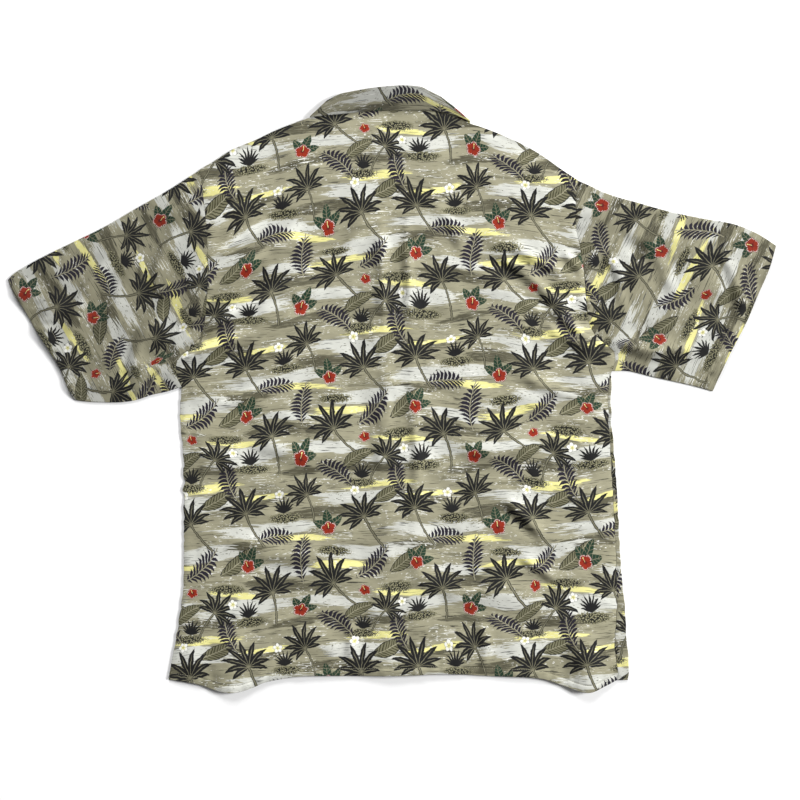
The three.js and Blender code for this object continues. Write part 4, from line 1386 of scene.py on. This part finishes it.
def button_mesh():
    """A turned button with a dished face and four holes, its face down."""
    r = BUTTON_R
    profile = [
        (0.4, 0.62), (r - 2.2, 0.58), (r - 1.7, 0.5), (r - 1.35, 0.28), (r - 1.1, 0.08),
        (r - 0.8, 0.0), (r - 0.45, 0.05), (r - 0.15, 0.3), (r, 0.75), (r - 0.1, 1.3),
        (r - 0.4, 1.75), (r - 0.9, 1.96), (r - 1.6, BUTTON_THICK), (0.4, BUTTON_THICK),
    ]
    body = placed("button_body", mesh_of("button_body", *lathe(profile, 56), [SHELL]))
    drills = []
    for sx in (-1, 1):
        for sy in (-1, 1):
            points, faces = lathe([(HOLE_R, -1), (HOLE_R, 3)], 20)
            moved = [(x + sx * HOLE_AT, y + sy * HOLE_AT, z) for x, y, z in points]
            drill = placed("drill", mesh_of("drill", moved, faces, [SHELL]))
            drills.append(drill)
            cut = body.modifiers.new("hole", "BOOLEAN")
            cut.operation = "DIFFERENCE"
            cut.solver = "EXACT"
            cut.object = drill
    bpy.context.view_layer.update()
    made = bpy.data.meshes.new_from_object(body.evaluated_get(bpy.context.evaluated_depsgraph_get()))
    for obj in [body, *drills]:
        bpy.data.objects.remove(obj)
    return made


def thread_path(points, radius=0.3, sides=8):
    """A round thread along a few points."""
    line = np.array(points, float)
    verts = []
    for k, p in enumerate(line):
        along = unit(line[min(k + 1, len(line) - 1)] - line[max(k - 1, 0)])
        aside = unit(np.cross(along, (0.3, 0.9, 0.2)))
        up = np.cross(along, aside)
        for q in range(sides):
            angle = 2 * math.pi * q / sides
            verts.append(tuple(p + radius * (aside * math.cos(angle) + up * math.sin(angle))))
    return verts, tube_faces(len(line), sides)


def joined_threads(name, threads, x, y):
    """Threads as one piece, moved to a place on the shirt."""
    points, faces = [], []
    for ring_points, ring_faces in threads:
        base = len(points)
        points += [tuple(np.add(p, (x, y, 0))) for p in ring_points]
        faces += [tuple(base + k for k in face) for face in ring_faces]
    worn_as(placed(name, mesh_of(name, points, faces, [THREAD])))


def button_threads():
    """Two stitches on a button's face, and the shank up to the right front."""
    h = HOLE_AT
    across = [(-h, 1.2), (-h, 0.7), (-0.7 * h, 0.34), (0.7 * h, 0.34), (h, 0.7), (h, 1.2)]
    threads = [thread_path([(x, row * h, z) for x, z in across]) for row in (-1, 1)]
    threads.append(thread_path([(-h, -h, 1.9), (-0.3, -0.3, 2.4), (-0.2, 0, 3.6)]))
    threads.append(thread_path([(h, h, 1.9), (0.3, 0.3, 2.4), (0.2, 0, 3.6)]))
    return threads


def buttonhole_threads(z):
    """The over-stitched edge of a buttonhole in the left front's band, with a bar at each end."""
    threads = []
    for y in HOLE_HALF * np.linspace(-1, 1, 30):
        for side in (-1, 1):
            threads.append(thread_path([(side * 0.35, y, z + 0.1), (side * 0.9, y + 0.1, z - 0.12),
                                        (side * 1.5, y, z + 0.1)], 0.2, 6))
    for end in (-1, 1):
        for k in range(4):
            y = end * (HOLE_HALF + 0.2 + 0.3 * k)
            threads.append(thread_path([(-1.4, y, z + 0.1), (0, y, z - 0.14), (1.4, y, z + 0.1)], 0.2, 6))
    return threads


def sewn_buttons():
    button = button_mesh()
    for k in range(BUTTON_COUNT):
        y = BUTTON_TOP_Y - k * BUTTON_PITCH
        x = float(centre_x(y))
        mesh = button.copy()
        mesh.name = f"shirt_button_{k + 1}"
        mesh.transform(Matrix.Translation((0.001 * x, 0.001 * y, 0)))
        worn_as(placed(mesh.name, mesh), f"button_{k + 1}")
        joined_threads(f"button_thread_{k + 1}", button_threads(), x, y)
        z = float(left_front_height(np.array(x), np.array(y))) - CLOTH / 2 - 0.05
        joined_threads(f"buttonhole_{k + 1}", buttonhole_threads(z), x, y)


sewn_buttons()


# Floor, lights and camera
def floor_material():
    material, g, shader = new_material("pale_floor")
    place = g.add("ShaderNodeTexCoord", {}, "Object")
    mottle = g.add("ShaderNodeTexNoise", {"Vector": place, "Scale": 6.0}, "Fac")
    g.tree.links.new(g.over((0.79, 0.79, 0.79, 1), (0.81, 0.81, 0.81, 1), mottle), shader["Base Color"])
    shader["Roughness"].default_value = 0.9
    return material


floor = placed("floor", bpy.data.meshes.new("floor"))
floor.data.from_pydata([(-6, -6, 0), (6, -6, 0), (6, 6, 0), (-6, 6, 0)], [], [(0, 1, 2, 3)])
floor.data.materials.append(floor_material())
floor.location.z = -0.0002


def area_light(name, place, size, power):
    """A round light that looks at the origin."""
    data = bpy.data.lights.new(name, "AREA")
    data.shape = "DISK"
    data.size = size
    data.energy = power
    light = placed(name, data)
    light.location = place
    direction = -np.array(place)
    pitch = math.acos(-direction[2] / np.linalg.norm(direction))
    light.rotation_euler = (pitch, 0, math.atan2(direction[1], direction[0]) - math.pi / 2)


area_light("key", (5.0, 0.6, 2.8), 2.0, 560)
area_light("fill", (-0.8, 5.2, 2.4), 3.6, 480)

world = bpy.data.worlds.new("studio")
world.use_nodes = True
background = world.node_tree.nodes["Background"].inputs
background["Color"].default_value = (1, 1, 1, 1)
background["Strength"].default_value = 0.2
bpy.context.scene.world = world
bpy.context.scene.view_settings.view_transform = "Standard"

camera = placed("camera", bpy.data.cameras.new("camera"))
camera.data.lens = 80
camera.data.sensor_width = 36
camera.location = (0.0108, -0.01485, 2.404)
bpy.context.scene.camera = camera
